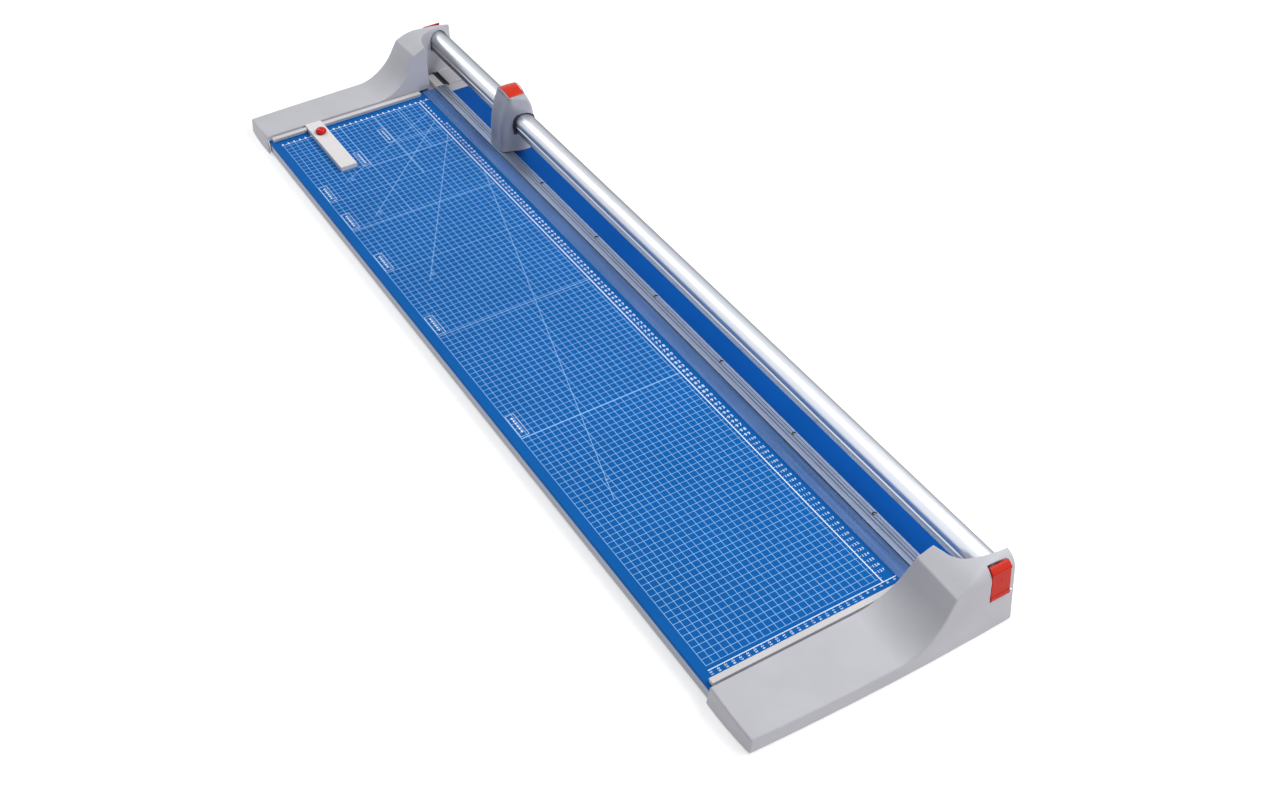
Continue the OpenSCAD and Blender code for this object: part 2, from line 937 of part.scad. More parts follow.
module head_screws() {
  color("#b8bcc0")
    translate([head_x, 0, 0])
      for (at = head_screw_at)
        difference() {
          union() {
            rod_x(at[0], at[1], screw_r, -22, 19);
            rod_x(at[0], at[1], 3, -24, -22);
          }
          translate([-24.5, at[0], at[1]])
            rotate([0, 90, 0])
              cylinder(h = 1.7, r = 1.2, $fn = 6);
        }
}

// Plastic bushes that slide on the rail
module glide_bushes() {
  color("#2b2c30")
    translate([head_x, 0, 0])
      for (side = [-1, 1])
        translate([side * 28, 0, 0])
          along_x(-3, 3)
            difference() {
              rail_outline(3.2);
              rail_outline(0.08);
            }
}

// Steel plate that carries the blade's axle and the press rollers
module blade_carrier() {
  reach = seat_rib[1] - 0.4;
  color("#aab0b6")
    translate([head_x, 0, 0])
      difference() {
        span([-reach, carrier_plate[0], seat_foot + 0.1], [reach, carrier_plate[1], seat_top - 0.1]);
        rod_y(0, axle_z, axle_r + 0.02, carrier_plate[0] - 1, carrier_plate[1] + 1);
        for (side = [-1, 1])
          rod_y(
            side * roller_x, roller_z, roller_pin_r + 0.02, carrier_plate[0] - 1, carrier_plate[1] + 1
          );
      }
}

module blade_axle() {
  color("#c9ccd0")
    translate([head_x, 0, 0]) {
      rod_y(0, axle_z, axle_r, carrier_plate[0] - 2.5, blade_front + blade_t + 0.2);
      difference() {
        rod_y(0, axle_z, 7.4, blade_front + blade_t + 0.2, blade_front + blade_t + 2);
        translate([0, blade_front + blade_t + 2.1, axle_z])
          rotate([90, 0, 0])
            cylinder(h = 1.4, r = 2.5, $fn = 6);
      }
    }
}

module axle_nut() {
  color("#8b9096")
    translate([head_x, 0, 0])
      difference() {
        translate([0, carrier_plate[0] - 0.02, axle_z])
          rotate([90, 0, 0])
            cylinder(h = 2.4, r = 6.5, $fn = 6);
        rod_y(0, axle_z, axle_r + 0.02, carrier_plate[0] - 3, carrier_plate[0] + 1);
      }
}

module blade_bearing() {
  color("#c8a15a")
    translate([head_x, 0, 0])
      difference() {
        rod_y(0, axle_z, bearing_r, carrier_plate[1] + 0.02, blade_front + blade_t + 0.15);
        rod_y(0, axle_z, axle_r + 0.02, carrier_plate[1] - 1, blade_front + blade_t + 1);
      }
}

// Washer between the carrier and the turning hub
module spring_washer() {
  color("#b8bcc0")
    translate([head_x, 0, 0])
      difference() {
        rod_y(0, axle_z, 10.5, carrier_plate[1] + 0.02, carrier_plate[1] + 0.5);
        rod_y(0, axle_z, bearing_r + 0.1, carrier_plate[1] - 1, carrier_plate[1] + 1);
      }
}

module roller_pins() {
  color("#b8bcc0")
    translate([head_x, 0, 0])
      for (side = [-1, 1]) {
        rod_y(side * roller_x, roller_z, roller_pin_r, roller_y[0] - 0.1, carrier_plate[1]);
        rod_y(side * roller_x, roller_z, 2.4, roller_y[0] - 0.5, roller_y[0] - 0.1);
      }
}

module press_roller(side) {
  color("#4a4d52")
    translate([head_x, 0, 0])
      difference() {
        union() {
          rod_y(side * roller_x, roller_z, roller_r, roller_y[0] + 0.4, roller_y[1] - 0.4);
          rod_y(side * roller_x, roller_z, roller_r - 0.5, roller_y[0], roller_y[1]);
        }
        rod_y(side * roller_x, roller_z, roller_pin_r + fit, roller_y[0] - 1, roller_y[1] + 1);
        for (a = [0:60:300])
          translate([side * roller_x, roller_y[1] + 1, roller_z])
            rotate([90, 0, 0])
              rotate([0, 0, a])
                translate([3, 0, 0])
                  cylinder(h = 3, r = 0.7, $fn = 24);
      }
}

module far_press_roller() {
  press_roller(-1);
}

module near_press_roller() {
  press_roller(1);
}

// Round blade: flat towards the knife, bevelled towards the rail
module rotary_blade() {
  color("#dfe2e5")
    translate([head_x, blade_front, axle_z])
      rotate([-90, 0, 0])
        difference() {
          union() {
            cylinder(h = blade_t, r = blade_r - 2.5, $fn = 96);
            cylinder(h = blade_t - 0.01, r1 = blade_r, r2 = blade_r - 2.4, $fn = 96);
          }
          translate([0, 0, -1])
            cylinder(h = blade_t + 2, r = bearing_r + fit, $fn = fn_round);
          for (a = [0:120:240])
            rotate([0, 0, a])
              translate([10, 0, -1])
                cylinder(h = blade_t + 2, r = 1.02, $fn = 24);
        }
}

module blade_hub() {
  color("#3c3f44")
    translate([head_x, blade_front, axle_z])
      rotate([90, 0, 0])
        difference() {
          union() {
            cylinder(h = 3, r = hub_r, $fn = fn_round);
            cylinder(h = blade_front - hub_front, r = 9, $fn = fn_round);
          }
          translate([0, 0, -1])
            cylinder(h = 20, r = bearing_r + fit, $fn = fn_round);
          for (a = [0:120:240])
            rotate([0, 0, a])
              translate([10, 0, -1])
                cylinder(h = 20, r = 1.02, $fn = 24);
        }
}

module hub_rivets() {
  color("#c9ccd0")
    translate([head_x, blade_front, axle_z])
      rotate([90, 0, 0])
        for (a = [0:120:240])
          rotate([0, 0, a])
            translate([10, 0, -blade_t])
              cylinder(h = 3 + blade_t, r = 1, $fn = 24);
}

module head_button() {
  color("#e8320f")
    translate([head_x, 0, 0])
      difference() {
        union() {
          intersection() {
            head_form(0);
            span([-button_x, button_y[0], button_under - 1.5], [button_x, button_y[1], 140]);
          }
          // flange that catches under the rim of the opening
          intersection() {
            head_form(head_wall + 0.4);
            span([-30, button_y[0] + 0.5, button_under - 5], [30, button_y[1] - 0.5, button_under]);
          }
        }
        span(
          [-button_x + 3, button_y[0] + 3.5, button_under - 6],
          [button_x - 3, button_y[1] - 3.5, button_under - 1]
        );
      }
}

module button_spring() {
  color("#b8bcc0")
    translate([head_x, (button_y[0] + button_y[1]) / 2, 0])
      coil(spring_r, 1, shelf_z[1] + 0.02, button_under - 1.02, 6);
}

// ---- Side stop ----

module side_stop_body() {
  y0 = side_y - side_w / 2;
  y1 = side_y + side_w / 2;
  hook_out = half_len + 11.3;
  hook_in = half_len + stop_w + gap;
  color("#e3dddc")
    difference() {
      along_y(y0, y1)
        polygon([
          [-hook_out, side_foot], [-hook_in, side_foot], [-hook_in, table_z + stop_h + gap],
          [-half_len + gap, table_z + stop_h + gap], [-half_len + gap, side_foot],
          [-half_len + side_len, side_foot], [-half_len + side_len, side_top - 1.5],
          [-half_len + side_len - 1.5, side_top], [-hook_out + 1, side_top], [-hook_out, side_top - 1]
        ]);
      // hollow underside
      span(
        [-half_len + 6, y0 + 2.5, side_foot - 1], [-half_len + side_len - 3, y1 - 2.5, side_top - 2.5]
      );
      rod_z(side_x, side_y, 6 + fit, side_foot - 1, side_top + 1);
      // long edges broken at 45 degrees
      for (y = [y0, y1])
        translate([-half_len, y, side_top])
          rotate([45, 0, 0])
            cube([400, 1.4, 1.4], center = true);
    }
}

// Steel plate under the button that holds its spring and grips along the stop bar
module side_stop_plate() {
  reach = side_w / 2 - 2.52;
  color("#9aa0a6")
    span(
      [-half_len + 6.02, side_y - reach, side_foot + 0.1],
      [side_x + 9, side_y + reach, side_foot + 1.3]
    );
}

module lock_spring() {
  color("#b8bcc0")
    translate([side_x, side_y, 0])
      coil(3.6, 0.7, side_foot + 1.32, side_top - 1.52, 3);
}

module lock_button() {
  dome_h = 7.8;
  ball_r = (dome_r * dome_r + dome_h * dome_h) / (2 * dome_h);
  lift = 1.8;
  color("#d01a10")
    translate([side_x, side_y, 0])
      difference() {
        union() {
          rod_z(0, 0, 6, side_top - 3, side_top + lift);
          intersection() {
            translate([0, 0, side_top + lift + dome_h - ball_r])
              sphere(r = ball_r, $fn = 96);
            rod_z(0, 0, dome_r, side_top + lift - 0.001, side_top + lift + dome_h + 1);
          }
        }
        rod_z(0, 0, 4.6, side_top - 5, side_top - 1.5);
      }
}

grid_sheet();
table_panel();
cross_members();
front_trim();
waste_ledge();
knife_carrier();
knife_bar();
knife_screws();
far_stop_bar();
near_stop_bar();
stop_bar_screws();
clamp_pins();
clamp_springs();
clamp_end_blocks();
clamp_end_plates();
guide_rail();
rail_end_plugs();
far_end_cap();
near_end_cap();
far_end_frame();
near_end_frame();
frame_screws();
cap_screws();
latch_pins();
rubber_feet();
clamp_track();
clamp_strip();
head_shell_far();
head_shell_near();
head_screws();
glide_bushes();
blade_carrier();
blade_axle();
axle_nut();
blade_bearing();
spring_washer();
roller_pins();
button_spring();
rotary_blade();
blade_hub();
hub_rivets();
far_press_roller();
near_press_roller();
head_button();
side_stop_body();
side_stop_plate();
lock_spring();
lock_button();
far_latch();
near_latch();
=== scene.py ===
"""Looks for a rotary paper trimmer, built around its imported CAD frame.

Shapes are worked out in millimetres and turned into metres when a mesh is made. Moulded parts are
distance fields meshed with surface nets, so that every edge has a true radius. Long parts are
extruded outlines, and the printed lines are thin raised geometry.
"""

import math

import bpy
import numpy as np
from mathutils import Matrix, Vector


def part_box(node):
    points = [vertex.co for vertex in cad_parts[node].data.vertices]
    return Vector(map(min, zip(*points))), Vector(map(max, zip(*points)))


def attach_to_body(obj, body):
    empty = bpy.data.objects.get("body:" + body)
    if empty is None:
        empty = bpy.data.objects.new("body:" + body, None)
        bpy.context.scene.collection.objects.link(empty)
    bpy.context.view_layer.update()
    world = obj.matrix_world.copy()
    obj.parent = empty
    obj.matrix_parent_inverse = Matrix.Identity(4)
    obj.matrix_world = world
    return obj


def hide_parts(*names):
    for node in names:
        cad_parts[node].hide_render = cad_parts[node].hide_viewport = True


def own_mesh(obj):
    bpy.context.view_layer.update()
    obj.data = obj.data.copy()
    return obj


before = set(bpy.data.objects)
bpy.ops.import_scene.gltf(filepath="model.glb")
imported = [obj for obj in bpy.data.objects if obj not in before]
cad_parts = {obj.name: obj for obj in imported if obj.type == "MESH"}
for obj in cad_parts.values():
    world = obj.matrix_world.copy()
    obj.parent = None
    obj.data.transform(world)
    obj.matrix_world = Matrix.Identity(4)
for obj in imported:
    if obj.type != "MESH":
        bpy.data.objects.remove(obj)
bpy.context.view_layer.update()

MM = 0.001

# ---------------------------------------------------------------------------
# Places, in millimetres, read from the frame
# ---------------------------------------------------------------------------


def corners(node):
    """Lowest and highest corner of a CAD node, in millimetres."""
    low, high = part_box(node)
    return np.array(low) / MM, np.array(high) / MM


CUT_HALF = corners("near_stop_bar")[0][0]
STOP_BAR_HIGH = corners("near_stop_bar")[1]
KNIFE_Y = corners("knife_bar")[1][1]
TABLE_Z = corners("grid_sheet")[1][2]
CAP_FRONT = corners("near_end_cap")[0][1]
CAP_BACK = corners("near_end_cap")[1][1]
CAP_FLOOR = corners("near_end_cap")[0][2]
RAIL_LOW, RAIL_HIGH = corners("guide_rail")
RAIL_Y = (RAIL_LOW[1] + RAIL_HIGH[1]) / 2
RAIL_R = 15.7
RAIL_Z = RAIL_HIGH[2] - RAIL_R
RAIL_BOTTOM = RAIL_LOW[2]
HEAD_X = corners("head_shell_near")[0][0]
HEAD_FOOT = corners("head_shell_near")[0][2]
HEAD_TOP = corners("head_shell_near")[1][2]
LATCH_LOW, LATCH_HIGH = corners("near_latch")
LATCH_MID = (LATCH_LOW[1] + LATCH_HIGH[1]) / 2
SIDE_LOW, SIDE_HIGH = corners("side_stop_body")
BUTTON_LOW, BUTTON_HIGH = corners("lock_button")
DOME_TOP = SIDE_HIGH[2] + 9.6
TRACK_TOP = corners("clamp_track")[1][2]

# ---------------------------------------------------------------------------
# Mesh tools
# ---------------------------------------------------------------------------


def add_object(name, points, faces, smooth_angle=None):
    """A mesh object from points in millimetres. Edges over smooth_angle, in degrees, stay sharp."""
    mesh = bpy.data.meshes.new(name)
    points = np.asarray(points, float) * MM
    mesh.from_pydata(points.tolist(), [], [list(map(int, f)) for f in faces])
    mesh.validate()
    obj = bpy.data.objects.new(name, mesh)
    bpy.context.scene.collection.objects.link(obj)
    if smooth_angle is not None:
        mesh.polygons.foreach_set("use_smooth", [True] * len(mesh.polygons))
        mesh.set_sharp_from_angle(angle=math.radians(smooth_angle))
    return obj


def attach(obj, body, material, replaces=()):
    """Gives a piece its material and its body, and hides the CAD parts that it replaces."""
    obj.data.materials.clear()
    obj.data.materials.append(material)
    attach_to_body(obj, body)
    if replaces:
        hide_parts(*replaces)
    return obj


def rounded(points, radius, steps=5):
    """An outline with each corner replaced by an arc. radius is one number or one per corner."""
    points = [np.array(p, float) for p in points]
    count = len(points)
    radii = [radius] * count if np.isscalar(radius) else radius
    result = []
    for i, corner in enumerate(points):
        before = points[i - 1] - corner
        after = points[(i + 1) % count] - corner
        r = radii[i]
        reach_before, reach_after = np.linalg.norm(before), np.linalg.norm(after)
        before, after = before / reach_before, after / reach_after
        half = math.acos(np.clip(before @ after, -1, 1)) / 2
        if r <= 0 or half > math.radians(88):
            result.append(corner)
            continue
        cut = min(r / math.tan(half), 0.48 * reach_before, 0.48 * reach_after)
        r = cut * math.tan(half)
        middle = (before + after) / np.linalg.norm(before + after)
        centre = corner + middle * r / math.sin(half)
        start, end = corner + before * cut - centre, corner + after * cut - centre
        sweep = math.atan2(start[0] * end[1] - start[1] * end[0], start @ end)
        for k in range(steps + 1):
            a = sweep * k / steps
            turn = np.array([[math.cos(a), -math.sin(a)], [math.sin(a), math.cos(a)]])
            result.append(centre + turn @ start)
    return np.array(result)


def extrude_x(name, outline, x0, x1, smooth_angle=35):
    """A closed bar along X with a (y, z) outline given anticlockwise."""
    outline = np.asarray(outline)
    count = len(outline)
    rings = [np.column_stack([np.full(count, x), outline]) for x in (x0, x1)]
    faces = [[i, (i + 1) % count, (i + 1) % count + count, i + count] for i in range(count)]
    faces.append(list(range(count - 1, -1, -1)))
    faces.append(list(range(count, 2 * count)))
    return add_object(name, np.vstack(rings), faces, smooth_angle)


def flat_union(rects, z0, z1):
    """Points and quads of a thin slab that is the union of (x0, x1, y0, y1) rectangles."""
    rects = np.asarray(rects, float)
    xs = np.unique(np.round(rects[:, :2].ravel(), 4))
    ys = np.unique(np.round(rects[:, 2:].ravel(), 4))
    filled = np.zeros((len(xs) + 1, len(ys) + 1), bool)
    for x0, x1, y0, y1 in rects:
        i0, i1 = np.searchsorted(xs, [round(x0, 4), round(x1, 4)])
        j0, j1 = np.searchsorted(ys, [round(y0, 4), round(y1, 4)])
        filled[i0 + 1:i1 + 1, j0 + 1:j1 + 1] = True
    ids = {}
    points, faces = [], []

    def vertex(i, j, top):
        key = (i, j, top)
        if key not in ids:
            ids[key] = len(points)
            points.append((xs[i], ys[j], z1 if top else z0))
        return ids[key]

    for i, j in np.argwhere(filled):
        i0, i1, j0, j1 = i - 1, i, j - 1, j
        faces.append([vertex(i0, j0, 1), vertex(i1, j0, 1), vertex(i1, j1, 1), vertex(i0, j1, 1)])
        faces.append([vertex(i0, j1, 0), vertex(i1, j1, 0), vertex(i1, j0, 0), vertex(i0, j0, 0)])
        sides = (
            (i - 1, j, (i0, j1), (i0, j0)),
            (i + 1, j, (i1, j0), (i1, j1)),
            (i, j - 1, (i0, j0), (i1, j0)),
            (i, j + 1, (i1, j1), (i0, j1)),
        )
        for ni, nj, a, b in sides:
            inside = 0 <= ni < filled.shape[0] and 0 <= nj < filled.shape[1]
            if not (inside and filled[ni, nj]):
                faces.append([vertex(*a, 0), vertex(*b, 0), vertex(*b, 1), vertex(*a, 1)])
    return np.array(points), faces


def merge(parts):
    """Joins (points, faces) pairs into one pair."""
    points, faces, count = [], [], 0
    for part_points, part_faces in parts:
        points.append(part_points)
        faces.extend([[v + count for v in f] for f in part_faces])
        count += len(part_points)
    return np.vstack(points), faces


# ---------------------------------------------------------------------------
# Distance fields: negative inside, in millimetres
# ---------------------------------------------------------------------------


def meet(a, b, r=0.0):
    """Intersection of two fields with an edge of radius r."""
    u = np.maximum(a + r, 0)
    v = np.maximum(b + r, 0)
    return np.minimum(np.maximum(a, b), -np.asarray(r)) + np.sqrt(u * u + v * v)


def join(a, b, r=0.0):
    """Union of two fields with a fillet of radius r."""
    return -meet(-a, -b, r)


def cut(a, b, r=0.0):
    """Field a without field b."""
    return meet(a, -b, r)


def block(x, y, z, low, high, r=0.0):
    """A box with rounded edges. None leaves that side open."""
    field = np.full(np.shape(x), -1e3)
    for value, lowest, highest in zip((x, y, z), low, high):
        if lowest is not None:
            field = meet(field, lowest - value, r)
        if highest is not None:
            field = meet(field, value - highest, r)
    return field


def ease(value, start, end):
    """0 before start, 1 after end, smooth between."""
    t = np.clip((value - start) / (end - start), 0, 1)
    return t * t * (3 - 2 * t)


def surface_net(field, low, high, step):
    """Points and quads of the surface where the field is zero."""
    low, high = np.array(low, float), np.array(high, float)
    counts = np.ceil((high - low) / step).astype(int) + 1
    xs, ys, zs = (low[i] + step * np.arange(counts[i]) for i in range(3))
    value = np.empty(counts, np.float32)
    for start in range(0, counts[0], 12):
        grid = np.meshgrid(xs[start:start + 12], ys, zs, indexing="ij")
        value[start:start + 12] = field(*grid)
    inside = value < 0
    corner_count = np.zeros(counts - 1, np.int8)
    steps = [(a, b, c) for a in (0, 1) for b in (0, 1) for c in (0, 1)]
    ends = counts - 1
    for a, b, c in steps:
        corner_count += inside[a:a + ends[0], b:b + ends[1], c:c + ends[2]]
    mixed = (corner_count > 0) & (corner_count < 8)
    cell = np.full(counts - 1, -1, np.int64)
    i, j, k = np.nonzero(mixed)
    cell[i, j, k] = np.arange(len(i))
    total, found = np.zeros((len(i), 3)), np.zeros(len(i))
    for start in steps:
        for axis in range(3):
            if start[axis]:
                continue
            end = [start[n] + (n == axis) for n in range(3)]
            va = value[i + start[0], j + start[1], k + start[2]]
            vb = value[i + end[0], j + end[1], k + end[2]]
            crossing = (va < 0) != (vb < 0)
            t = np.where(crossing, va / np.where(crossing, va - vb, 1), 0)
            point = np.array(start, float) + t[:, None] * np.eye(3)[axis]
            total[crossing] += point[crossing]
            found[crossing] += 1
    points = low + step * (np.column_stack([i, j, k]) + total / found[:, None])
    quads = []
    for axis in range(3):
        b, c = (axis + 1) % 3, (axis + 2) % 3
        first = [slice(1, -1)] * 3
        second = [slice(1, -1)] * 3
        first[axis], second[axis] = slice(0, -1), slice(1, None)
        here, there = inside[tuple(first)], inside[tuple(second)]
        at = np.argwhere(here != there)
        outward = here[tuple(at.T)]
        at[:, b] += 1
        at[:, c] += 1
        ring = []
        for db, dc in ((-1, -1), (0, -1), (0, 0), (-1, 0)):
            index = at.copy()
            index[:, b] += db
            index[:, c] += dc
            ring.append(cell[tuple(index.T)])
        ring = np.column_stack(ring)
        ring[~outward] = ring[~outward][:, ::-1]
        quads.append(ring)
    return points, np.vstack(quads)


def gradient(field, points, reach):
    """The field's slope at points."""
    slope = np.zeros_like(points)
    for axis in range(3):
        offset = np.zeros(3)
        offset[axis] = reach
        ahead = field(*(points + offset).T)
        behind = field(*(points - offset).T)
        slope[:, axis] = (ahead - behind) / (2 * reach)
    return slope


def settle(field, points, step, rounds=3):
    """Moves points on to the surface along the slope."""
    for _ in range(rounds):
        slope = gradient(field, points, 0.08 * step)
        size = np.maximum((slope ** 2).sum(1), 0.25)
        move = slope * (field(*points.T) / size)[:, None]
        length = np.linalg.norm(move, axis=1, keepdims=True)
        points = points - move * np.minimum(1, 0.4 * step / np.maximum(length, 1e-9))
    return points


def solid(name, field, low, high, step, keep=0.4, mirror_x=False, shift_x=0.0):
    """A piece from a field, whose slope sets the normals. keep is the share of faces left."""
    points, quads = surface_net(field, low, high, step)
    points = settle(field, points, step)
    obj = add_object(name, points, quads)
    if keep < 1:
        thin = obj.modifiers.new("thin", "DECIMATE")
        thin.ratio = keep
        bpy.context.view_layer.update()
        graph = bpy.context.evaluated_depsgraph_get()
        mesh = bpy.data.meshes.new_from_object(obj.evaluated_get(graph))
        obj.modifiers.clear()
        old = obj.data
        obj.data = mesh
        bpy.data.meshes.remove(old)
        mesh.name = name
    mesh = obj.data
    points = np.empty(len(mesh.vertices) * 3, np.float32)
    mesh.vertices.foreach_get("co", points)
    points = settle(field, points.reshape(-1, 3).astype(float) / MM, step, 1)
    normals = gradient(field, points, 0.25 * step)
    normals /= np.maximum(np.linalg.norm(normals, axis=1, keepdims=True), 1e-9)
    if mirror_x:
        points[:, 0] *= -1
        normals[:, 0] *= -1
        mesh.flip_normals()
    points[:, 0] += shift_x
    mesh.vertices.foreach_set("co", (points * MM).astype(np.float32).ravel())
    mesh.polygons.foreach_set("use_smooth", [True] * len(mesh.polygons))
    mesh.update()
    mesh.normals_split_custom_set_from_vertices(normals.tolist())
    return obj


# ---------------------------------------------------------------------------
# Materials
# ---------------------------------------------------------------------------


def linear(code):
    """A linear colour from a hexadecimal display colour."""
    values = [int(code[i:i + 2], 16) / 255 for i in (1, 3, 5)]
    return [v / 12.92 if v <= 0.04045 else ((v + 0.055) / 1.055) ** 2.4 for v in values]


def finish_material(
    name, colour, roughness, metallic=0.0, stretch=(1, 1, 1), grain=1500.0, tint=0.05,
    rough_spread=0.08, bump=0.15, bump_height=0.00004, cloud=14.0, cloud_tint=0.05, coat=0.0,
    alpha=1.0, edge_light=0.0, specular=0.5, groove=None, rim=1.0,
):
    """A surface with fine grain, slow colour drift, uneven roughness, bump and a painted highlight on
    its edges.

    groove paints shade on what lies below that height, and rim under 1 paints shade towards the
    outline.
    """
    material = bpy.data.materials.new(name)
    material.use_nodes = True
    nodes, links = material.node_tree.nodes, material.node_tree.links
    shader = nodes["Principled BSDF"]
    place = nodes.new("ShaderNodeTexCoord").outputs["Object"]

    def noise(source, size, detail):
        node = nodes.new("ShaderNodeTexNoise")
        node.inputs["Scale"].default_value = size
        node.inputs["Detail"].default_value = detail
        links.new(source, node.inputs["Vector"])
        return node.outputs["Fac"]

    def ranged(source, start, end, low, high):
        node = nodes.new("ShaderNodeMapRange")
        node.inputs["From Min"].default_value = start
        node.inputs["From Max"].default_value = end
        node.inputs["To Min"].default_value = low
        node.inputs["To Max"].default_value = high
        links.new(source, node.inputs["Value"])
        return node.outputs["Result"]

    def span(source, low, high):
        return ranged(source, 0.3, 0.7, low, high)

    def scaled(source, factor):
        node = nodes.new("ShaderNodeVectorMath")
        node.operation = "SCALE"
        links.new(source, node.inputs[0])
        links.new(factor, node.inputs["Scale"])
        return node.outputs["Vector"]

    scale = nodes.new("ShaderNodeMapping")
    scale.inputs["Scale"].default_value = stretch
    links.new(place, scale.inputs["Vector"])
    fine = noise(scale.outputs["Vector"], grain, 3.0)
    slow = noise(place, cloud, 4.0)

    base = nodes.new("ShaderNodeCombineXYZ")
    for axis, value in zip("XYZ", colour):
        base.inputs[axis].default_value = value
    result = scaled(base.outputs["Vector"], span(fine, 1 - tint, 1 + tint))
    result = scaled(result, span(slow, 1 - cloud_tint, 1 + cloud_tint))
    # Painted highlight: convex edges, found by pointiness, are mixed towards a lighter colour as if
    # they caught the light.
    if edge_light:
        geometry = nodes.new("ShaderNodeNewGeometry")
        mix = nodes.new("ShaderNodeMix")
        mix.data_type = "RGBA"
        edge_highlight_mask = ranged(geometry.outputs["Pointiness"], 0.52, 0.62, 0.0, edge_light)
        links.new(edge_highlight_mask, mix.inputs["Factor"])
        links.new(result, mix.inputs["A"])
        mix.inputs["B"].default_value = [min(1, c * 1.25 + 0.04) for c in colour] + [1]
        result = mix.outputs["Result"]
    # Painted shade: below the groove height the colour is darkened, standing in for the shade in the
    # bottoms of the track's grooves.
    if groove:
        level = nodes.new("ShaderNodeSeparateXYZ")
        links.new(place, level.inputs["Vector"])
        bottom, top = (groove - 0.35) * MM, (groove - 0.15) * MM
        result = scaled(result, ranged(level.outputs["Z"], bottom, top, 0.3, 1.0))
    # Painted shade: the colour and the reflection tint darken towards the outline, standing in for the
    # darker surroundings that the rail's sides reflect.
    if rim < 1:
        weight = nodes.new("ShaderNodeLayerWeight")
        weight.inputs["Blend"].default_value = 0.5
        result = scaled(result, ranged(weight.outputs["Facing"], 0.2, 1.0, 1.0, rim))
        shader.inputs["Specular Tint"].default_value = (rim, rim, rim, 1)
    links.new(result, shader.inputs["Base Color"])
    rough = span(fine, max(0.02, roughness - rough_spread), roughness + rough_spread)
    links.new(rough, shader.inputs["Roughness"])

    raised = nodes.new("ShaderNodeBump")
    raised.inputs["Strength"].default_value = bump
    raised.inputs["Distance"].default_value = bump_height
    links.new(fine, raised.inputs["Height"])
    links.new(raised.outputs["Normal"], shader.inputs["Normal"])
    shader.inputs["Metallic"].default_value = metallic
    shader.inputs["Coat Weight"].default_value = coat
    shader.inputs["Coat Roughness"].default_value = 0.12
    shader.inputs["Specular IOR Level"].default_value = specular
    shader.inputs["Alpha"].default_value = alpha
    return material


ALONG_X = (0.012, 1, 1)

# edge_light paints a lighter highlight on convex edges.
cap_plastic = finish_material(
    "cap_plastic", linear("#BAB9BF"), 0.5, grain=1400, tint=0.03, bump=0.25,
    edge_light=0.25, specular=0.25,
)
head_plastic = finish_material(
    "head_plastic", linear("#A2A3AD"), 0.48, grain=1500, tint=0.035, bump=0.25,
    edge_light=0.5, specular=0.4,
)
# rim paints a darker reflection on the rail's sides towards its outline.
rail_metal = finish_material(
    "rail_aluminium", linear("#E6E8EC"), 0.3, 1.0, ALONG_X, 2600, 0.02, 0.04, 0.05, 0.00001, 3.0, 0.02,
    rim=0.4,
)
trim_metal = finish_material(
    "trim_aluminium", linear("#9A9DA6"), 0.4, 1.0, ALONG_X, 2400, 0.04, 0.06, 0.1, 0.00002, 3.0, 0.03
)
# groove paints shade into the bottoms of the track's grooves.
track_metal = finish_material(
    "track_aluminium", linear("#B4BFD2"), 0.34, 1.0, ALONG_X, 3200, 0.05, 0.06, 0.1, 0.00001, 3.0, 0.03,
    groove=TRACK_TOP,
)
knife_metal = finish_material(
    "knife_steel", linear("#F2F3F5"), 0.34, 1.0, ALONG_X, 2200, 0.03, 0.06, 0.1, 0.00002, 5.0, 0.03
)
blade_metal = finish_material("blade_steel", linear("#DDE0E4"), 0.18, 1.0, grain=900, bump=0.05)
turned_metal = finish_material("turned_steel", linear("#B9BCC1"), 0.3, 1.0, grain=1600, bump=0.15)
zinc_metal = finish_material(
    "zinc_steel", linear("#A9ADB2"), 0.42, 1.0, grain=500, tint=0.12, cloud=60, cloud_tint=0.12
)
screw_metal = finish_material("screw_steel", linear("#C4C7CB"), 0.28, 1.0, grain=1200, bump=0.1)
brass_metal = finish_material(
    "bearing_brass", linear("#C39A58"), 0.38, 1.0, grain=1800, tint=0.1, bump=0.3
)
panel_paint = finish_material("panel_paint", linear("#7C8086"), 0.5, grain=1100, bump=0.35, cloud=9)
bed_blue = finish_material(
    "bed_blue", linear("#0E5DA8"), 0.5, grain=1800, tint=0.05, bump=0.1, cloud=7,
    cloud_tint=0.05, specular=0.04,
)
ledge_blue = finish_material(
    "ledge_blue", linear("#0553A6"), 0.5, grain=1300, tint=0.05, bump=0.25, cloud=8, specular=0.04
)
print_pale = finish_material(
    "print_pale_blue", linear("#93C1EC"), 0.5, grain=1600, tint=0.05, bump=0.05, specular=0.05
)
print_white = finish_material(
    "print_white", linear("#E2EEFA"), 0.5, grain=1600, tint=0.04, bump=0.05, specular=0.05
)
cream_paint = finish_material(
    "cream_paint", linear("#CBC8C8"), 0.45, grain=1500, tint=0.03, bump=0.15,
    edge_light=0.3, specular=0.3,
)
cream_plastic = finish_material(
    "cream_plastic", linear("#DEDAD9"), 0.45, grain=1300, tint=0.03, bump=0.22,
    edge_light=0.3, specular=0.3,
)
red_plastic = finish_material(
    "red_plastic", linear("#C42410"), 0.4, grain=1200, tint=0.05, bump=0.1,
    edge_light=0.4, specular=0.15,
)
orange_plastic = finish_material(
    "red_orange_plastic", linear("#CE2A08"), 0.34, grain=1200, tint=0.05, bump=0.08, coat=0.05,
    edge_light=0.3, specular=0.2,
)
dome_plastic = finish_material(
    "dome_plastic", linear("#C8160A"), 0.22, grain=900, tint=0.04, bump=0.02,
    coat=0.08, specular=0.2,
)
black_plastic = finish_material(
    "black_plastic", linear("#161618"), 0.45, grain=1300, tint=0.12, bump=0.3, edge_light=0.2
)
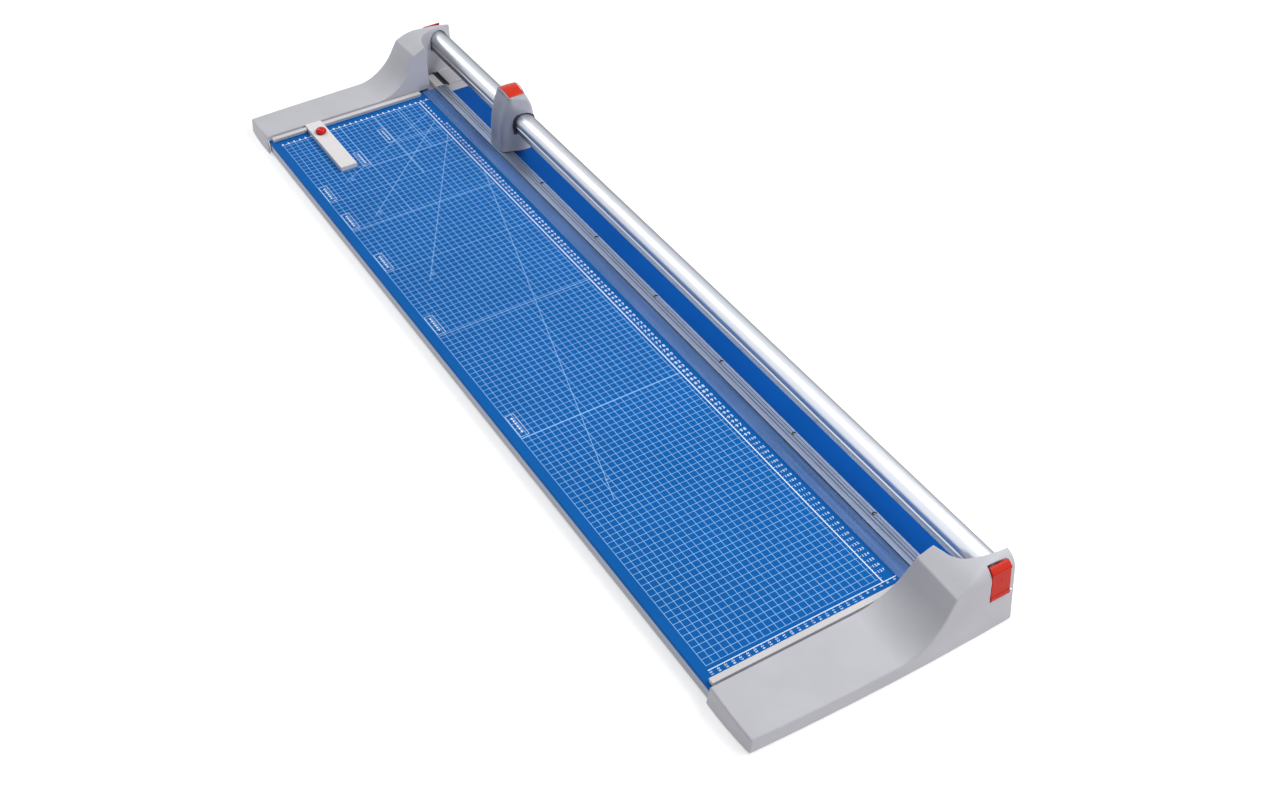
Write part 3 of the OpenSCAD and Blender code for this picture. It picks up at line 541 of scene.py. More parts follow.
dark_plastic = finish_material(
    "dark_plastic", linear("#3A3C42"), 0.45, grain=1300, tint=0.1, bump=0.3
)
bush_plastic = finish_material(
    "bush_plastic", linear("#1C1D20"), 0.5, grain=1500, tint=0.05, bump=0.1
)
rubber = finish_material(
    "rubber", linear("#1E1F21"), 0.75, grain=1000, tint=0.15, bump=0.5, specular=0.3
)
clear_plastic = finish_material(
    "clear_strip", linear("#8CA8D6"), 0.24, stretch=ALONG_X, grain=260, tint=0.4, rough_spread=0.1,
    bump=0.1, cloud=5, cloud_tint=0.2, coat=0.05, alpha=0.2,
)

NODE_MATERIALS = {
    "grid_sheet": bed_blue, "table_panel": panel_paint, "cross_members": zinc_metal,
    "front_trim": trim_metal, "waste_ledge": ledge_blue, "knife_carrier": trim_metal,
    "knife_bar": knife_metal, "knife_screws": screw_metal, "far_stop_bar": cream_paint,
    "near_stop_bar": cream_paint, "stop_bar_screws": screw_metal, "clamp_pins": screw_metal,
    "clamp_springs": screw_metal, "clamp_end_blocks": black_plastic, "guide_rail": rail_metal,
    "rail_end_plugs": turned_metal, "far_end_cap": cap_plastic, "near_end_cap": cap_plastic,
    "far_end_frame": zinc_metal, "near_end_frame": zinc_metal, "frame_screws": screw_metal,
    "cap_screws": screw_metal, "latch_pins": turned_metal, "rubber_feet": rubber,
    "clamp_track": track_metal, "clamp_strip": clear_plastic, "head_shell_far": head_plastic,
    "head_shell_near": head_plastic, "head_screws": screw_metal, "glide_bushes": bush_plastic,
    "blade_carrier": turned_metal, "blade_axle": turned_metal, "axle_nut": screw_metal,
    "blade_bearing": brass_metal, "spring_washer": screw_metal, "clamp_end_plates": cream_plastic,
    "roller_pins": turned_metal, "button_spring": screw_metal, "rotary_blade": blade_metal,
    "blade_hub": dark_plastic,
    "hub_rivets": screw_metal, "far_press_roller": dark_plastic, "near_press_roller": dark_plastic,
    "head_button": orange_plastic, "side_stop_body": cream_plastic, "side_stop_plate": zinc_metal,
    "lock_spring": screw_metal, "lock_button": dome_plastic, "far_latch": red_plastic,
    "near_latch": red_plastic,
}
for node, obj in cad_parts.items():
    obj.data.materials.clear()
    obj.data.materials.append(NODE_MATERIALS[node])

# ---------------------------------------------------------------------------
# End caps. x is the offset beyond the end of the cut.
# ---------------------------------------------------------------------------

ARM_Z = 32.0
INNER_X = 12.7
RAMP_Y = 16.4
RAMP_R = 75.0
RIDGE = (93.3, 90.8)
ROOF_SLOPE = 0.436
FACET_END = 116.0
ROOF_BACK = 101.2
ARCH = 13.0
ROOF_BLEND = 2.4
SKIN = 3.0
POCKET_FLOOR = 20.0
NOTCH = (92.5, 115.0)
LIP_BACK = corners("waste_ledge")[1][1]
LIP_TOP = corners("waste_ledge")[1][2] + 1.4
WINDOW_GAP = 0.4


def rail_field(y, z, grow):
    """The rail's outline as a field in y and z."""
    top = np.hypot(y - RAIL_Y, z - RAIL_Z) - RAIL_R - grow
    sides = np.maximum(np.abs(y - RAIL_Y) - RAIL_R - grow, RAIL_BOTTOM - grow - z)
    return np.minimum(top, np.maximum(sides, z - RAIL_Z))


def cap_top(x, y, z):
    """Arm, ramp and roof. They drop a little towards the outside."""
    lean = np.clip((x - INNER_X) / 79, 0, 1.15) ** 1.4
    drop = lean * (8 - 4.4 * ease(y, 16, 93) - 1.8 * ease(y, 93, 130))
    reach = RAMP_R * math.sin(math.radians(60))
    along = np.clip(y - RAMP_Y, 0, reach)
    ramp = ARM_Z + RAMP_R - np.sqrt(RAMP_R ** 2 - along ** 2)
    ramp = ramp + np.maximum(y - RAMP_Y - reach, 0) * math.tan(math.radians(60))
    ramp_field = (z + drop - ramp) * np.sqrt(1 - (along / RAMP_R) ** 2)
    t = np.clip((y - FACET_END) / (CAP_BACK - FACET_END), -0.4, 1.1)
    end_z = RIDGE[1] + ROOF_SLOPE * (FACET_END - RIDGE[0])
    arch_z = end_z + t * (ROOF_BACK - end_z) + ARCH * t * (1 - t)
    facet_z = RIDGE[1] + ROOF_SLOPE * (np.clip(y, 60, 150) - RIDGE[0])
    blend = np.maximum(ROOF_BLEND - np.abs(facet_z - arch_z), 0) / ROOF_BLEND
    roof = np.minimum(facet_z, arch_z) - blend ** 2 * ROOF_BLEND / 4
    roof_field = (z + drop - roof) * 0.94
    return meet(ramp_field, roof_field, 1.0)


def cap_form(x, y, z, closed):
    """The cap's outer form. closed adds the bottom face."""
    tail = ease(y, 140, 187)
    lean = 0.07 + 0.038 * tail
    wall = 97.6 - (y - 46) ** 2 / 8410 - lean * np.maximum(z - 30 + 25 * tail, 0)
    field = meet(cap_top(x, y, z), x - wall, 2.2 + 14.5 * ease(y, 97, 150))
    front = CAP_FRONT + (x - 32) ** 2 / 1200 + 2.9 * np.clip(z / ARM_Z, 0, 1.5)
    field = meet(field, front - y, 2.4)
    field = meet(field, y - CAP_BACK, 1.6)
    inner = INNER_X + 0.135 * (z - ARM_Z)
    field = meet(field, inner - x, 1.0)
    if closed:
        field = meet(field, CAP_FLOOR - z, 0.7)
    return field


def pocket_field(x, y, z):
    """Air of the pocket where the head parks."""
    edge = (FACET_END + 0.207 * (x - 21) - y) * 0.98
    curve = np.hypot(x + 27, y - 176) - 96.8
    return meet(meet(edge, curve, 9.0), POCKET_FLOOR - z, 1.5)


def cap_field(x, y, z):
    """The whole cap: a 3 mm shell with its openings."""
    pocket = pocket_field(x, y, z)
    outside = cut(cap_form(x, y, z, True), pocket, 0.8)
    inside = cut(cap_form(x, y, z, False), pocket, 0.8) + SKIN
    shell = cut(outside, inside, 0.3)
    notch = block(x, y, z, (None, NOTCH[0], None), (14, NOTCH[1], 35), 0.3)
    shell = cut(shell, notch, 0.3)
    passage_high = (20.6, CAP_BACK - 3.2, TABLE_Z + 0.3)
    passage = block(x, y, z, (None, CAP_FRONT + 3.5, None), passage_high, 0.3)
    shell = cut(shell, passage, 0.4)
    hole = np.maximum(rail_field(y, z, 0.6), np.abs(x - 68) - 9)
    shell = cut(shell, hole, 0.4)
    window_low = (80, LATCH_LOW[1] - WINDOW_GAP, LATCH_LOW[2] - WINDOW_GAP)
    window_high = (None, LATCH_HIGH[1] + WINDOW_GAP, LATCH_HIGH[2] + WINDOW_GAP)
    window = block(x, y, z, window_low, window_high, 0.6)
    shell = cut(shell, window, 0.5)
    lip_front, lip_bottom = KNIFE_Y + 0.8, LIP_TOP - 1.35
    lip = block(x, y, z, (1.2, lip_front, lip_bottom), (22, LIP_BACK, LIP_TOP), 0.4)
    riser = block(x, y, z, (20.3, lip_front, lip_bottom), (22, LIP_BACK, POCKET_FLOOR), 0.2)
    return join(shell, join(lip, riser, 0.4), 0.3)


def build_caps():
    """The near cap, and the far cap as its mirror image."""
    low = (0, CAP_FRONT - 2, CAP_FLOOR - 2)
    high = (100, CAP_BACK + 2, 107)
    near = solid("near_cap_cover", cap_field, low, high, 1.0, 0.35, shift_x=CUT_HALF)
    attach(near, "base", cap_plastic, ["near_end_cap"])
    mesh = near.data.copy()
    points = np.empty(len(mesh.vertices) * 3, np.float32)
    mesh.vertices.foreach_get("co", points)
    points = points.reshape(-1, 3)
    local = points.astype(float) / MM
    local[:, 0] -= CUT_HALF
    points[:, 0] *= -1
    slope = gradient(cap_field, local, 0.3)
    slope /= np.maximum(np.linalg.norm(slope, axis=1, keepdims=True), 1e-9)
    slope[:, 0] *= -1
    mesh.vertices.foreach_set("co", points.ravel())
    mesh.flip_normals()
    mesh.update()
    mesh.normals_split_custom_set_from_vertices(slope.tolist())
    far = bpy.data.objects.new("far_cap_cover", mesh)
    bpy.context.scene.collection.objects.link(far)
    attach(far, "base", cap_plastic, ["far_end_cap"])


# ---------------------------------------------------------------------------
# Cutting head. x is measured from the head's centre.
# ---------------------------------------------------------------------------

INSERT = (19.5, KNIFE_Y + 0.6, KNIFE_Y + 26.6)
HEAD_SKIN = 2.6


def head_crown(x, y):
    """Height of the head's top: higher in the middle and towards the rail."""
    depth = y - KNIFE_Y
    before = 0.0042 * np.minimum(depth - 27, 0) ** 2
    behind = 0.02 * np.maximum(depth - 27, 0) ** 2
    middle = HEAD_TOP + 0.5 - before - behind
    return middle - (0.0098 + 0.00026 * (depth - 1)) * x ** 2


def head_form(x, y, z):
    """The head's outer form: two soft pillars in front, a hood over the rail and a flared foot."""
    side = np.abs(x)
    depth = y - KNIFE_Y
    rise = np.clip((z - HEAD_FOOT) / 91, 0, 1)
    flare = np.exp(-np.maximum(z - HEAD_FOOT, 0) / 5.0)
    channel = 1.7 * (1 - np.minimum(side / 15, 1) ** 2) ** 2
    channel = channel * ease(z, 32, 46) * (1 - ease(z, 96, 114))
    corner = 0.05 * np.maximum(side - 15, 0) ** 2
    front = KNIFE_Y - 20 + 4 * rise + 15 * rise ** 3 + channel + corner - 1.2 * flare
    back = KNIFE_Y + 39 - np.where(z > 68, 0.0035, 0.008) * (z - 67) ** 2
    hood = 20.6 + 0.15 * np.clip(depth, 0, 30) + (HEAD_TOP - 4.0 - z) * 0.45
    hood_edge = 89 + 0.14 * np.minimum(depth + 6, 0) ** 2
    waist = 28.7 + 3.0 * ease(z, 50, 64) + 4.6 * ease(z, hood_edge - 2.5, hood_edge + 2.5)
    waist = waist + (4.4 + 0.05 * np.clip(depth, -17, 35)) * flare
    plan = 21.5 + 0.36 * (depth + 17) + 1.4 * flare
    tail = 30 + 0.62 * (39 - depth)
    field = meet((front - y) * 0.96, (side - plan) * 0.94, 2.4)
    field = meet(field, (side - waist) * 0.97, 3.0)
    field = meet(field, (side - tail) * 0.86, 6.0)
    field = meet(field, (side - hood) * 0.91, 2.0)
    field = meet(field, (y - back) * 0.95, 5.0)
    field = meet(field, (z - head_crown(x, y)) * 0.95, 1.4)
    return meet(field, HEAD_FOOT - z, 1.6)


def insert_plan(x, y):
    """The insert's outline as a field in x and y."""
    half_y = (INSERT[2] - INSERT[1]) / 2
    across = np.abs(y - (INSERT[1] + INSERT[2]) / 2) - half_y
    return meet(np.abs(x) - INSERT[0], across, 2.0)


def head_shell_field(x, y, z):
    """The head's casing: hollow, open round the rail, under the blade and under the insert."""
    form = head_form(x, y, z)
    rim = np.maximum(np.abs(insert_plan(x, y) - 1.1) - 0.9, np.abs(z - head_crown(x, y)) - 0.6)
    form = join(form, rim, 0.6)
    field = cut(form, head_form(x, y, z) + HEAD_SKIN, 0.2)
    shelf = np.maximum(head_form(x, y, z) + 1, np.abs(z - 99.5) - 1.3)
    field = join(field, shelf, 0.3)
    sleeve = np.maximum(30.0 - np.abs(x), rail_field(y, z, 4.5))
    collar = np.maximum(head_form(x, y, z) + 0.4, sleeve)
    field = join(field, collar, 0.3)
    field = cut(field, rail_field(y, z, 1.5), 0.6)
    slot = block(x, y, z, (-25.5, KNIFE_Y - 0.9, None), (25.5, KNIFE_Y + 2.5, 75))
    field = cut(field, slot, 0.2)
    well = block(np.abs(x), y, z, (5.6, KNIFE_Y - 17.3, None), (18.0, KNIFE_Y - 9.3, 42))
    field = cut(field, well, 0.2)
    opening = np.maximum(insert_plan(x, y) - 0.25, 117 - z)
    return cut(field, opening, 0.3)


def insert_field(x, y, z):
    """The red insert, a little proud of the head."""
    top = (z - head_crown(x, y) - 0.5) * 0.95
    field = meet(insert_plan(x, y), top, 1.2)
    return meet(field, 119.0 - z, 0.4)


def build_head():
    """The casing's two halves and the insert."""
    low = (-40, KNIFE_Y - 26, HEAD_FOOT - 2)
    high = (40, KNIFE_Y + 43, HEAD_TOP + 4)
    halves = (("head_cover_far", "head_shell_far", -1), ("head_cover_near", "head_shell_near", 1))
    for name, node, side in halves:
        def half(x, y, z):
            return cut(head_shell_field(x, y, z), side * x + 0.03, 0.0)

        half_low = (low[0] if side < 0 else -1.5, low[1], low[2])
        half_high = (1.5 if side < 0 else high[0], high[1], high[2])
        piece = solid(name, half, half_low, half_high, 0.62, 0.45, shift_x=HEAD_X)
        attach(piece, "head", head_plastic, [node])
    low = (-22, INSERT[1] - 2, 115)
    high = (22, INSERT[2] + 2, HEAD_TOP + 4)
    piece = solid("head_red_insert", insert_field, low, high, 0.5, 0.5, shift_x=HEAD_X)
    attach(piece, "head_push_button", orange_plastic, ["head_button"])


# ---------------------------------------------------------------------------
# Rail latches. x is the offset beyond the end of the cut.
# ---------------------------------------------------------------------------

LATCH_PIVOT = (93.2, 55.5)
LATCH_FOOT_R = 2.9


def latch_field(x, y, z):
    """A catch with a finger lip along its top."""
    pivot_x, pivot_z = LATCH_PIVOT
    outer_face = 96.2 - 0.1 * (z - 56)
    face = (x - outer_face) * 0.99
    lip = ((z - 101.2) + (x - 84.6) * 0.72) * 0.81
    back = (89.4 - 0.42 * np.maximum(z - 84, 0) - x) * 0.95
    field = meet(meet(face, back, 0.8), lip, 0.9)
    field = meet(field, z - 100.6, 0.8)
    foot = np.hypot(x - pivot_x, z - pivot_z) - LATCH_FOOT_R
    field = meet(field, join(pivot_z - z, foot), 0.3)
    recess = np.maximum(outer_face - 0.9 - x, np.maximum(z - 93.2, 60 - z))
    field = cut(field, recess, 0.5)
    dimple = np.sqrt((x - 93.4) ** 2 + (y - LATCH_MID) ** 2 + (z - 82) ** 2) - 1.5
    field = cut(field, dimple, 0.3)
    tongue = block(x, y, z, (82.8, LATCH_MID - 5.2, 76.1), (91, LATCH_MID + 3.4, 81.0), 0.5)
    half_width = (LATCH_HIGH[1] - LATCH_LOW[1]) / 2
    field = meet(field, np.abs(y - LATCH_MID) - half_width, 0.7)
    return join(field, tongue, 0.4)


def build_latches():
    """The near latch and its mirror image."""
    low = (80, LATCH_LOW[1] - 2, LATCH_LOW[2] - 2)
    high = (99, LATCH_HIGH[1] + 2, LATCH_HIGH[2] + 2)
    near = solid("near_red_latch", latch_field, low, high, 0.5, 0.5, shift_x=CUT_HALF)
    attach(near, "near_rail_latch", red_plastic, ["near_latch"])
    far = solid("far_red_latch", latch_field, low, high, 0.5, 0.5, mirror_x=True, shift_x=-CUT_HALF)
    attach(far, "far_rail_latch", red_plastic, ["far_latch"])


# ---------------------------------------------------------------------------
# Side stop
# ---------------------------------------------------------------------------


def side_stop_field(x, y, z):
    """A hollow bar that hooks over the far stop bar."""
    field = block(x, y, z, SIDE_LOW, SIDE_HIGH, 1.1)
    bar_low = (-CUT_HALF - 8.9, None, None)
    bar_high = (-CUT_HALF + 0.3, None, STOP_BAR_HIGH[2] + 0.3)
    field = cut(field, block(x, y, z, bar_low, bar_high, 0.2), 0.3)
    hollow_low = (-CUT_HALF + 6, SIDE_LOW[1] + 2.5, None)
    hollow_high = (SIDE_HIGH[0] - 3, SIDE_HIGH[1] - 2.5, SIDE_HIGH[2] - 2.5)
    field = cut(field, block(x, y, z, hollow_low, hollow_high, 0.6), 0.3)
    middle = (BUTTON_LOW + BUTTON_HIGH) / 2
    hole = np.hypot(x - middle[0], y - middle[1]) - 6.3
    return cut(field, hole, 0.7)


def dome_field(x, y, z):
    """The lock button: a round dome on a stem."""
    middle = (BUTTON_LOW + BUTTON_HIGH) / 2
    radius = (BUTTON_HIGH[0] - BUTTON_LOW[0]) / 2
    out = np.hypot(x - middle[0], y - middle[1])
    foot = SIDE_HIGH[2] + 1.9
    rise = DOME_TOP - foot
    up = np.maximum(z - foot - 1, 0) * radius / (rise - 1)
    ball = (np.hypot(out, up) - radius) * 0.9
    cap = meet(ball, foot - z, 0.6)
    stem = meet(out - 6.0, np.abs(z - BUTTON_LOW[2] - 3) - 3, 0.3)
    return join(cap, stem, 0.5)


def build_side_stop():
    """The sliding stop and its lock button."""
    margin = 2.0
    piece = solid("side_stop_bar", side_stop_field, SIDE_LOW - margin, SIDE_HIGH + margin, 0.6, 0.3)
    attach(piece, "side_stop", cream_plastic, ["side_stop_body"])
    piece = solid("side_stop_dome", dome_field, BUTTON_LOW - margin, BUTTON_HIGH + 7, 0.4, 0.6)
    attach(piece, "side_stop_button", dome_plastic, ["lock_button"])


# ---------------------------------------------------------------------------
# Extruded parts
# ---------------------------------------------------------------------------


def mirrored_ring(name, outer, inner, x0, x1):
    """A hollow bar along X between an outer and an inner outline with as many points."""
    count = len(outer)
    rings = []
    for x in (x0, x1):
        for ring in (outer, inner):
            rings.append(np.column_stack([np.full(count, x), ring]))
    faces = []
    for i in range(count):
        j = (i + 1) % count
        faces.append([i, j, j + 2 * count, i + 2 * count])
        faces.append([i + 3 * count, j + 3 * count, j + count, i + count])
        faces.append([i + count, j + count, j, i])
        faces.append([i + 2 * count, j + 2 * count, j + 3 * count, i + 3 * count])
    return add_object(name, np.vstack(rings), faces, 30)


def rail_section():
    """Outer and inner outlines of the rail, point for point."""
    outer, inner = [], []
    inner_r = RAIL_R - 2.7
    for k in range(49):
        a = math.radians(180 * k / 48)
        outer.append((RAIL_R * math.cos(a), RAIL_R * math.sin(a)))
        inner.append((inner_r * math.cos(a), inner_r * math.sin(a)))
    side = [
        (15.7, -0.9), (15.1, -1.15), (15.1, -2.25), (15.3, -2.6), (16.4, -3.9), (16.5, -4.4),
        (16.3, -5.4), (15.65, -6.1), (15.5, -14.4), (15.2, -15.0), (14.6, -15.3),
    ]
    inner_share = 12.6 / 15.3
    for y, z in side:
        outer.append((-y, z))
        inner.append((-inner_r, z * inner_share))
    for y, z in reversed(side):
        outer.append((y, z))
        inner.append((inner_r, z * inner_share))
    place = np.array([RAIL_Y, RAIL_Z])
    return np.array(outer) + place, np.array(inner) + place


def build_rail():
    """The rail as a hollow bar."""
    outer, inner = rail_section()
    piece = mirrored_ring("rail_tube", outer, inner, RAIL_LOW[0], RAIL_HIGH[0])
    attach(piece, "base", rail_metal, ["guide_rail"])


def build_front_trim():
    """The trim along the front edge, with a fine groove in its face."""
    low, high = corners("front_trim")
    back, face, top = high[1], low[1], high[2]
    groove = face + 0.55
    outline = rounded(
        [
            (back, low[2]), (back, top), (face + 1.0, top), (face, top - 7.4),
            (groove, top - 7.9), (groove, top - 8.9), (face, top - 9.4), (face, low[2]),
        ],
        [0, 0, 0.7, 0.2, 0.1, 0.1, 0.2, 0.7], 4,
    )
    piece = extrude_x("front_trim_strip", outline, low[0], high[0])
    attach(piece, "base", trim_metal, ["front_trim"])


def build_sheet():
    """The printed sheet, folded down over the table's front edge."""
    low, high = corners("grid_sheet")
    front, back, top = low[1], high[1], high[2]
    lip_back = front + 1.85
    outline = rounded(
        [
            (lip_back, low[2]), (lip_back, top - 1), (back, top - 1), (back, top), (front, top),
            (front, low[2]),
        ],
        [0.3, 0, 0, 0.2, 1.2, 0.4], 5,
    )
    piece = extrude_x("printed_sheet", outline, low[0], high[0])
    attach(piece, "base", bed_blue, ["grid_sheet"])


def build_rules():
    """The raised rules at both ends of the cut, undercut on the side of the cut."""
    rules = (("far_side_rule", "far_stop_bar", -1), ("near_side_rule", "near_stop_bar", 1))
    for name, node, side in rules:
        low, high = corners(node)

        def rule(x, y, z):
            under_high = (CUT_HALF + 1.4, None, high[2] - 2.4)
            under = block(side * x, y, z, (None, None, None), under_high, 0.2)
            return cut(block(x, y, z, low, high, 0.8), under, 0.2)

        piece = solid(name, rule, low - 1.5, high + 1.5, 0.55, 0.12)
        attach(piece, "base", cream_paint, [node])


WASHER_STEPS = 48
WASHER_BORE = 2.15
WASHER_SHEET = 0.3


def build_washers():
    """Dished washers that lift the clamp. The real ones flatten as it goes down; these stay dished."""
    low, high = corners("clamp_springs")
    outer = (high[1] - low[1]) / 2
    middle_y = low[1] + outer
    top = high[2] - low[2]
    section = [
        (WASHER_BORE, top - WASHER_SHEET), (WASHER_BORE, top), (outer, WASHER_SHEET), (outer, 0.0),
    ]
    parts = []
    for x in (low[0] + outer, high[0] - outer):
        points, faces = [], []
        for k in range(WASHER_STEPS):
            a = 2 * math.pi * k / WASHER_STEPS
            for r, z in section:
                points.append((x + r * math.cos(a), middle_y + r * math.sin(a), low[2] + z))
            after = (k + 1) % WASHER_STEPS
            for i in range(4):
                j = (i + 1) % 4
                faces.append([4 * k + i, 4 * k + j, 4 * after + j, 4 * after + i])
        parts.append((np.array(points), faces))
    points, faces = merge(parts)
    piece = add_object("clamp_dished_washers", points, faces, 30)
    attach(piece, "base", screw_metal, ["clamp_springs"])
    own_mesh(piece)


# ---------------------------------------------------------------------------
# Print on the table: thin raised ink
# ---------------------------------------------------------------------------

INK_LOW = TABLE_Z + 0.015
INK_HIGH = TABLE_Z + 0.05
GRID_X = (20, 1280)
GRID_Y = (70, 310)
ORIGIN_ALONG = 14.4
SCALE_ALONG = 1286.7
SCALE_ACROSS = 64.5
TEXT_SIZE = 7.4
LABEL_LENGTH = 45
LABEL_WIDTH = 12.5


def table_x(along):
    """X of a distance from the far stop."""
    return along - CUT_HALF


def table_y(across):
    """Y of a distance from the cutting edge."""
    return KNIFE_Y - across


def line_across(along, start, end, width):
    """A printed line along Y as (x0, x1, y0, y1)."""
    middle = table_x(along)
    return middle - width / 2, middle + width / 2, table_y(end), table_y(start)


def line_along(across, start, end, width):
    """A printed line along X as (x0, x1, y0, y1)."""
    middle = table_y(across)
    return table_x(start), table_x(end), middle - width / 2, middle + width / 2


def slant(start, end, width, z0, z1):
    """Points and faces of a straight ink line between two table points."""
    a = np.array([table_x(start[0]), table_y(start[1])])
    b = np.array([table_x(end[0]), table_y(end[1])])
    side = np.array([a[1] - b[1], b[0] - a[0]])
    side = side / np.linalg.norm(side) * width / 2
    ring = [a - side, b - side, b + side, a + side]
    points = [(p[0], p[1], z) for z in (z0, z1) for p in ring]
    faces = [[3, 2, 1, 0], [4, 5, 6, 7]]
    faces += [[i, (i + 1) % 4, (i + 1) % 4 + 4, i + 4] for i in range(4)]
    return np.array(points), faces


def wedge(base, tip, across, width):
    """Points and faces of a printed pointer along X."""
    y = table_y(across)
    ring = [(table_x(base), y - width / 2), (table_x(base), y + width / 2), (table_x(tip), y)]
    points = [(px, py, z) for z in (INK_LOW, INK_HIGH) for px, py in ring]
    faces = [[2, 1, 0], [3, 4, 5]]
    faces += [[i, (i + 1) % 3, (i + 1) % 3 + 3, i + 3] for i in range(3)]
    return np.array(points), faces


def digit_shapes():
    """Points and faces of the ten digits, each one unit high, with its width."""
    shapes = {}
    for digit in "0123456789":
        curve = bpy.data.curves.new("digit", "FONT")
        curve.body = digit
        curve.resolution_u = 2
        curve.extrude = 0.002
        curve.offset = 0.022
        text = bpy.data.objects.new("digit", curve)
        bpy.context.scene.collection.objects.link(text)
        bpy.context.view_layer.update()
        graph = bpy.context.evaluated_depsgraph_get()
        mesh = bpy.data.meshes.new_from_object(text.evaluated_get(graph))
        points = np.array([v.co for v in mesh.vertices], float)
        faces = [list(p.vertices) for p in mesh.polygons]
        bpy.data.objects.remove(text)
        bpy.data.curves.remove(curve)
        bpy.data.meshes.remove(mesh)
        points[:, 2] = np.where(points[:, 2] > 0, 1.0, 0.0)
        shapes[digit] = (points, faces)
    return shapes


def number(shapes, value, along, across, size, turned):
    """A printed number. turned numbers read away from the front edge."""
    parts = []
    pen = 0.0
    for digit in str(value):
        points, faces = shapes[digit]
        points = points.copy()
        points[:, 0] += pen
        pen += 0.7
        parts.append((points, faces))
    points, faces = merge(parts)
    points[:, :2] *= size
    if turned:
        points[:, :2] = np.column_stack([-points[:, 1], points[:, 0]])
    points[:, 0] += table_x(along)
    points[:, 1] += table_y(across)
    points[:, 2] = INK_LOW + points[:, 2] * (INK_HIGH - INK_LOW)
    return points, faces


def printed(name, points, faces, ink):
    """A printed piece on the sheet."""
    attach(add_object(name, points, faces), "base", ink)


def print_lines(name, lines, lift, ink):
    """Printed lines, lifted a little so that crossing prints don't share a face."""
    points, faces = flat_union(lines, INK_LOW + lift, INK_HIGH + lift)
    printed(name, points, faces, ink)


def print_grid():
    """The 10 mm grid, and the scale lines round it."""
    columns = range(GRID_X[0], GRID_X[1] + 1, 10)
    rows = range(GRID_Y[0], GRID_Y[1] + 1, 10)
    grid = [line_across(x, GRID_Y[0] - 3, GRID_Y[1], 0.7) for x in columns]
    grid += [line_along(y, 14, GRID_X[1], 0.7) for y in rows]
    print_lines("print_grid", grid, 0.0, print_pale)

    bold = [line_along(SCALE_ACROSS, 14, SCALE_ALONG + 0.6, 1.5)]
    bold += [line_across(SCALE_ALONG, 45, 312, 1.2), line_across(ORIGIN_ALONG, 45, 312, 0.9)]
    bold += [line_across(x, 61.6, SCALE_ACROSS, 0.6) for x in columns]
    bold += [line_across(x + 5, 62.8, SCALE_ACROSS, 0.45) for x in columns[:-1]]
    bold += [line_along(y, SCALE_ALONG, SCALE_ALONG + 2.1, 0.6) for y in range(50, 311, 10)]
    print_lines("print_scales", bold, 0.012, print_white)


def print_formats():
    """Lines of the paper formats, with plain dashes for their labels."""
    ends = {105: 148, 148: 218, 210: 310, 297: 310, 420: 310, 594: 310, 841: 310}
    formats = [line_across(along, 65, end, 1.1) for along, end in ends.items()]
    formats += [line_along(*line, 1.1) for line in ((105, 14, 148), (148, 14, 210), (210, 14, 297))]
    print_lines("print_formats", formats, 0.024, print_pale)

    boxes = [(along - 49, 296.5) for along in (210, 297, 420, 594, 841)]
    boxes += [(56, 148.5), (98, 210.5)]
    labels = []
    for along, across in boxes:
        for edge in (0, LABEL_WIDTH):
            labels.append(line_along(across + edge, along, along + LABEL_LENGTH, 0.6))
        for edge in (0, LABEL_LENGTH):
            labels.append(line_across(along + edge, across, across + LABEL_WIDTH, 0.6))
        for k in range(6):
            start = along + 6 + k * 5.6
            labels.append(line_along(across + LABEL_WIDTH / 2, start, start + 3.6, 2.4))
    print_lines("print_labels", labels, 0.036, print_white)


def print_angles(shapes):
    """Slanting lines with their angles in degrees."""
    near, far = 66, 264
    parts = []
    for angle in (15, 30, 45, 60):
        slope = 1 / math.tan(math.radians(angle))
        start = (near * slope + ORIGIN_ALONG, near)
        end = (far * slope + ORIGIN_ALONG, far)
        parts.append(slant(start, end, 0.8, INK_LOW + 0.04, INK_HIGH + 0.04))
        parts.append(number(shapes, angle, 252 * slope + 18, 256, 6.5, False))
    printed("print_angles", *merge(parts), print_pale)


def print_numbers(shapes):
    """Centimetres along the cut and across the near end, and pointers at the far end."""
    parts = [wedge(14.0, 8.6, y, 3.6) for y in range(50, 311, 10)]
    for centimetre in range(2, 128):
        size = TEXT_SIZE if centimetre < 100 else TEXT_SIZE * 0.72
        parts.append(number(shapes, centimetre, centimetre * 10 + 2.4, 60.4, size, True))
    for centimetre in range(5, 32):
        parts.append(number(shapes, centimetre, 1289.2, centimetre * 10 + 1.6, 4.6, False))
    printed("print_numbers", *merge(parts), print_white)


# ---------------------------------------------------------------------------
# Stage, lights and camera
# ---------------------------------------------------------------------------


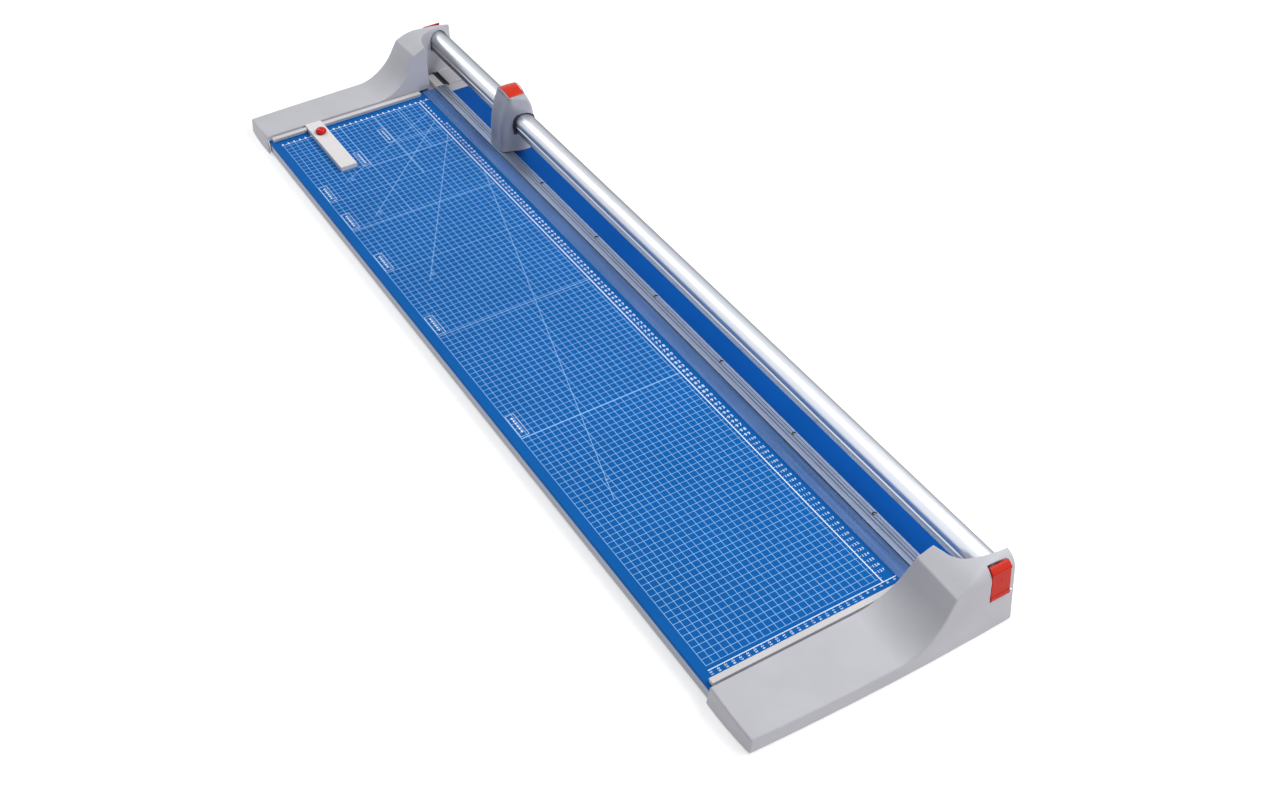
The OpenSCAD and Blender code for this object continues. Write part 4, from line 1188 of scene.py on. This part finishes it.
def build_floor():
    """A wide pale floor, just below the feet."""
    size, level = 9000, -0.5
    ring = [(x * size, y * size, level) for x, y in ((-1, -1), (1, -1), (1, 1), (-1, 1))]
    floor = add_object("floor", ring, [[0, 1, 2, 3]])
    paper = finish_material(
        "floor_paper", [0.6, 0.6, 0.6], 0.9, grain=40, tint=0.005, bump=0.0,
        cloud_tint=0.004, specular=0.1,
    )
    shader = paper.node_tree.nodes["Principled BSDF"]
    shader.inputs["Emission Color"].default_value = (1, 1, 1, 1)
    shader.inputs["Emission Strength"].default_value = 0.56
    floor.data.materials.append(paper)


def area(name, place, aim, size, power):
    """A soft rectangular light at place that points at aim, in metres."""
    light = bpy.data.lights.new(name, "AREA")
    light.shape = "RECTANGLE"
    light.size, light.size_y = size
    light.energy = power
    obj = bpy.data.objects.new(name, light)
    obj.location = place
    obj.rotation_euler = (Vector(aim) - Vector(place)).to_track_quat("-Z", "Y").to_euler()
    bpy.context.scene.collection.objects.link(obj)


def build_lights():
    """A sky that is brighter in reflections than as light, and two soft boxes."""
    world = bpy.data.worlds.new("studio")
    bpy.context.scene.world = world
    world.use_nodes = True
    nodes, links = world.node_tree.nodes, world.node_tree.links
    sky = nodes["Background"]
    sky.inputs["Color"].default_value = (0.93, 0.95, 1.0, 1)
    ray = nodes.new("ShaderNodeLightPath")
    strength = nodes.new("ShaderNodeMapRange")
    strength.inputs["To Min"].default_value = 0.3
    strength.inputs["To Max"].default_value = 1.05
    links.new(ray.outputs["Is Glossy Ray"], strength.inputs["Value"])
    links.new(strength.outputs["Result"], sky.inputs["Strength"])
    area("key_softbox", (0.9, 1.3, 2.1), (0.2, 0, 0), (2.4, 1.4), 58)
    area("rail_softbox", (-1.4, -0.35, 2.1), (0, 0.1, 0), (0.7, 3.4), 24)


CAMERA_TURN = (47.9134, 0.9818, 58.7312)


def build_camera():
    """The camera stands at the right front, high up, and looks along the table."""
    camera = bpy.data.cameras.new("camera")
    camera.sensor_width = 36.0
    camera.lens = 44.762
    obj = bpy.data.objects.new("camera", camera)
    obj.location = (1.5591, -0.7947, 1.4407)
    obj.rotation_euler = [math.radians(a) for a in CAMERA_TURN]
    bpy.context.scene.collection.objects.link(obj)
    bpy.context.scene.camera = obj


build_caps()
build_head()
build_latches()
build_side_stop()
build_rail()
build_front_trim()
build_sheet()
build_rules()
build_washers()
print_grid()
print_formats()
digits = digit_shapes()
print_angles(digits)
print_numbers(digits)
build_floor()
build_lights()
build_camera()
bpy.context.scene.view_settings.view_transform = "Standard"
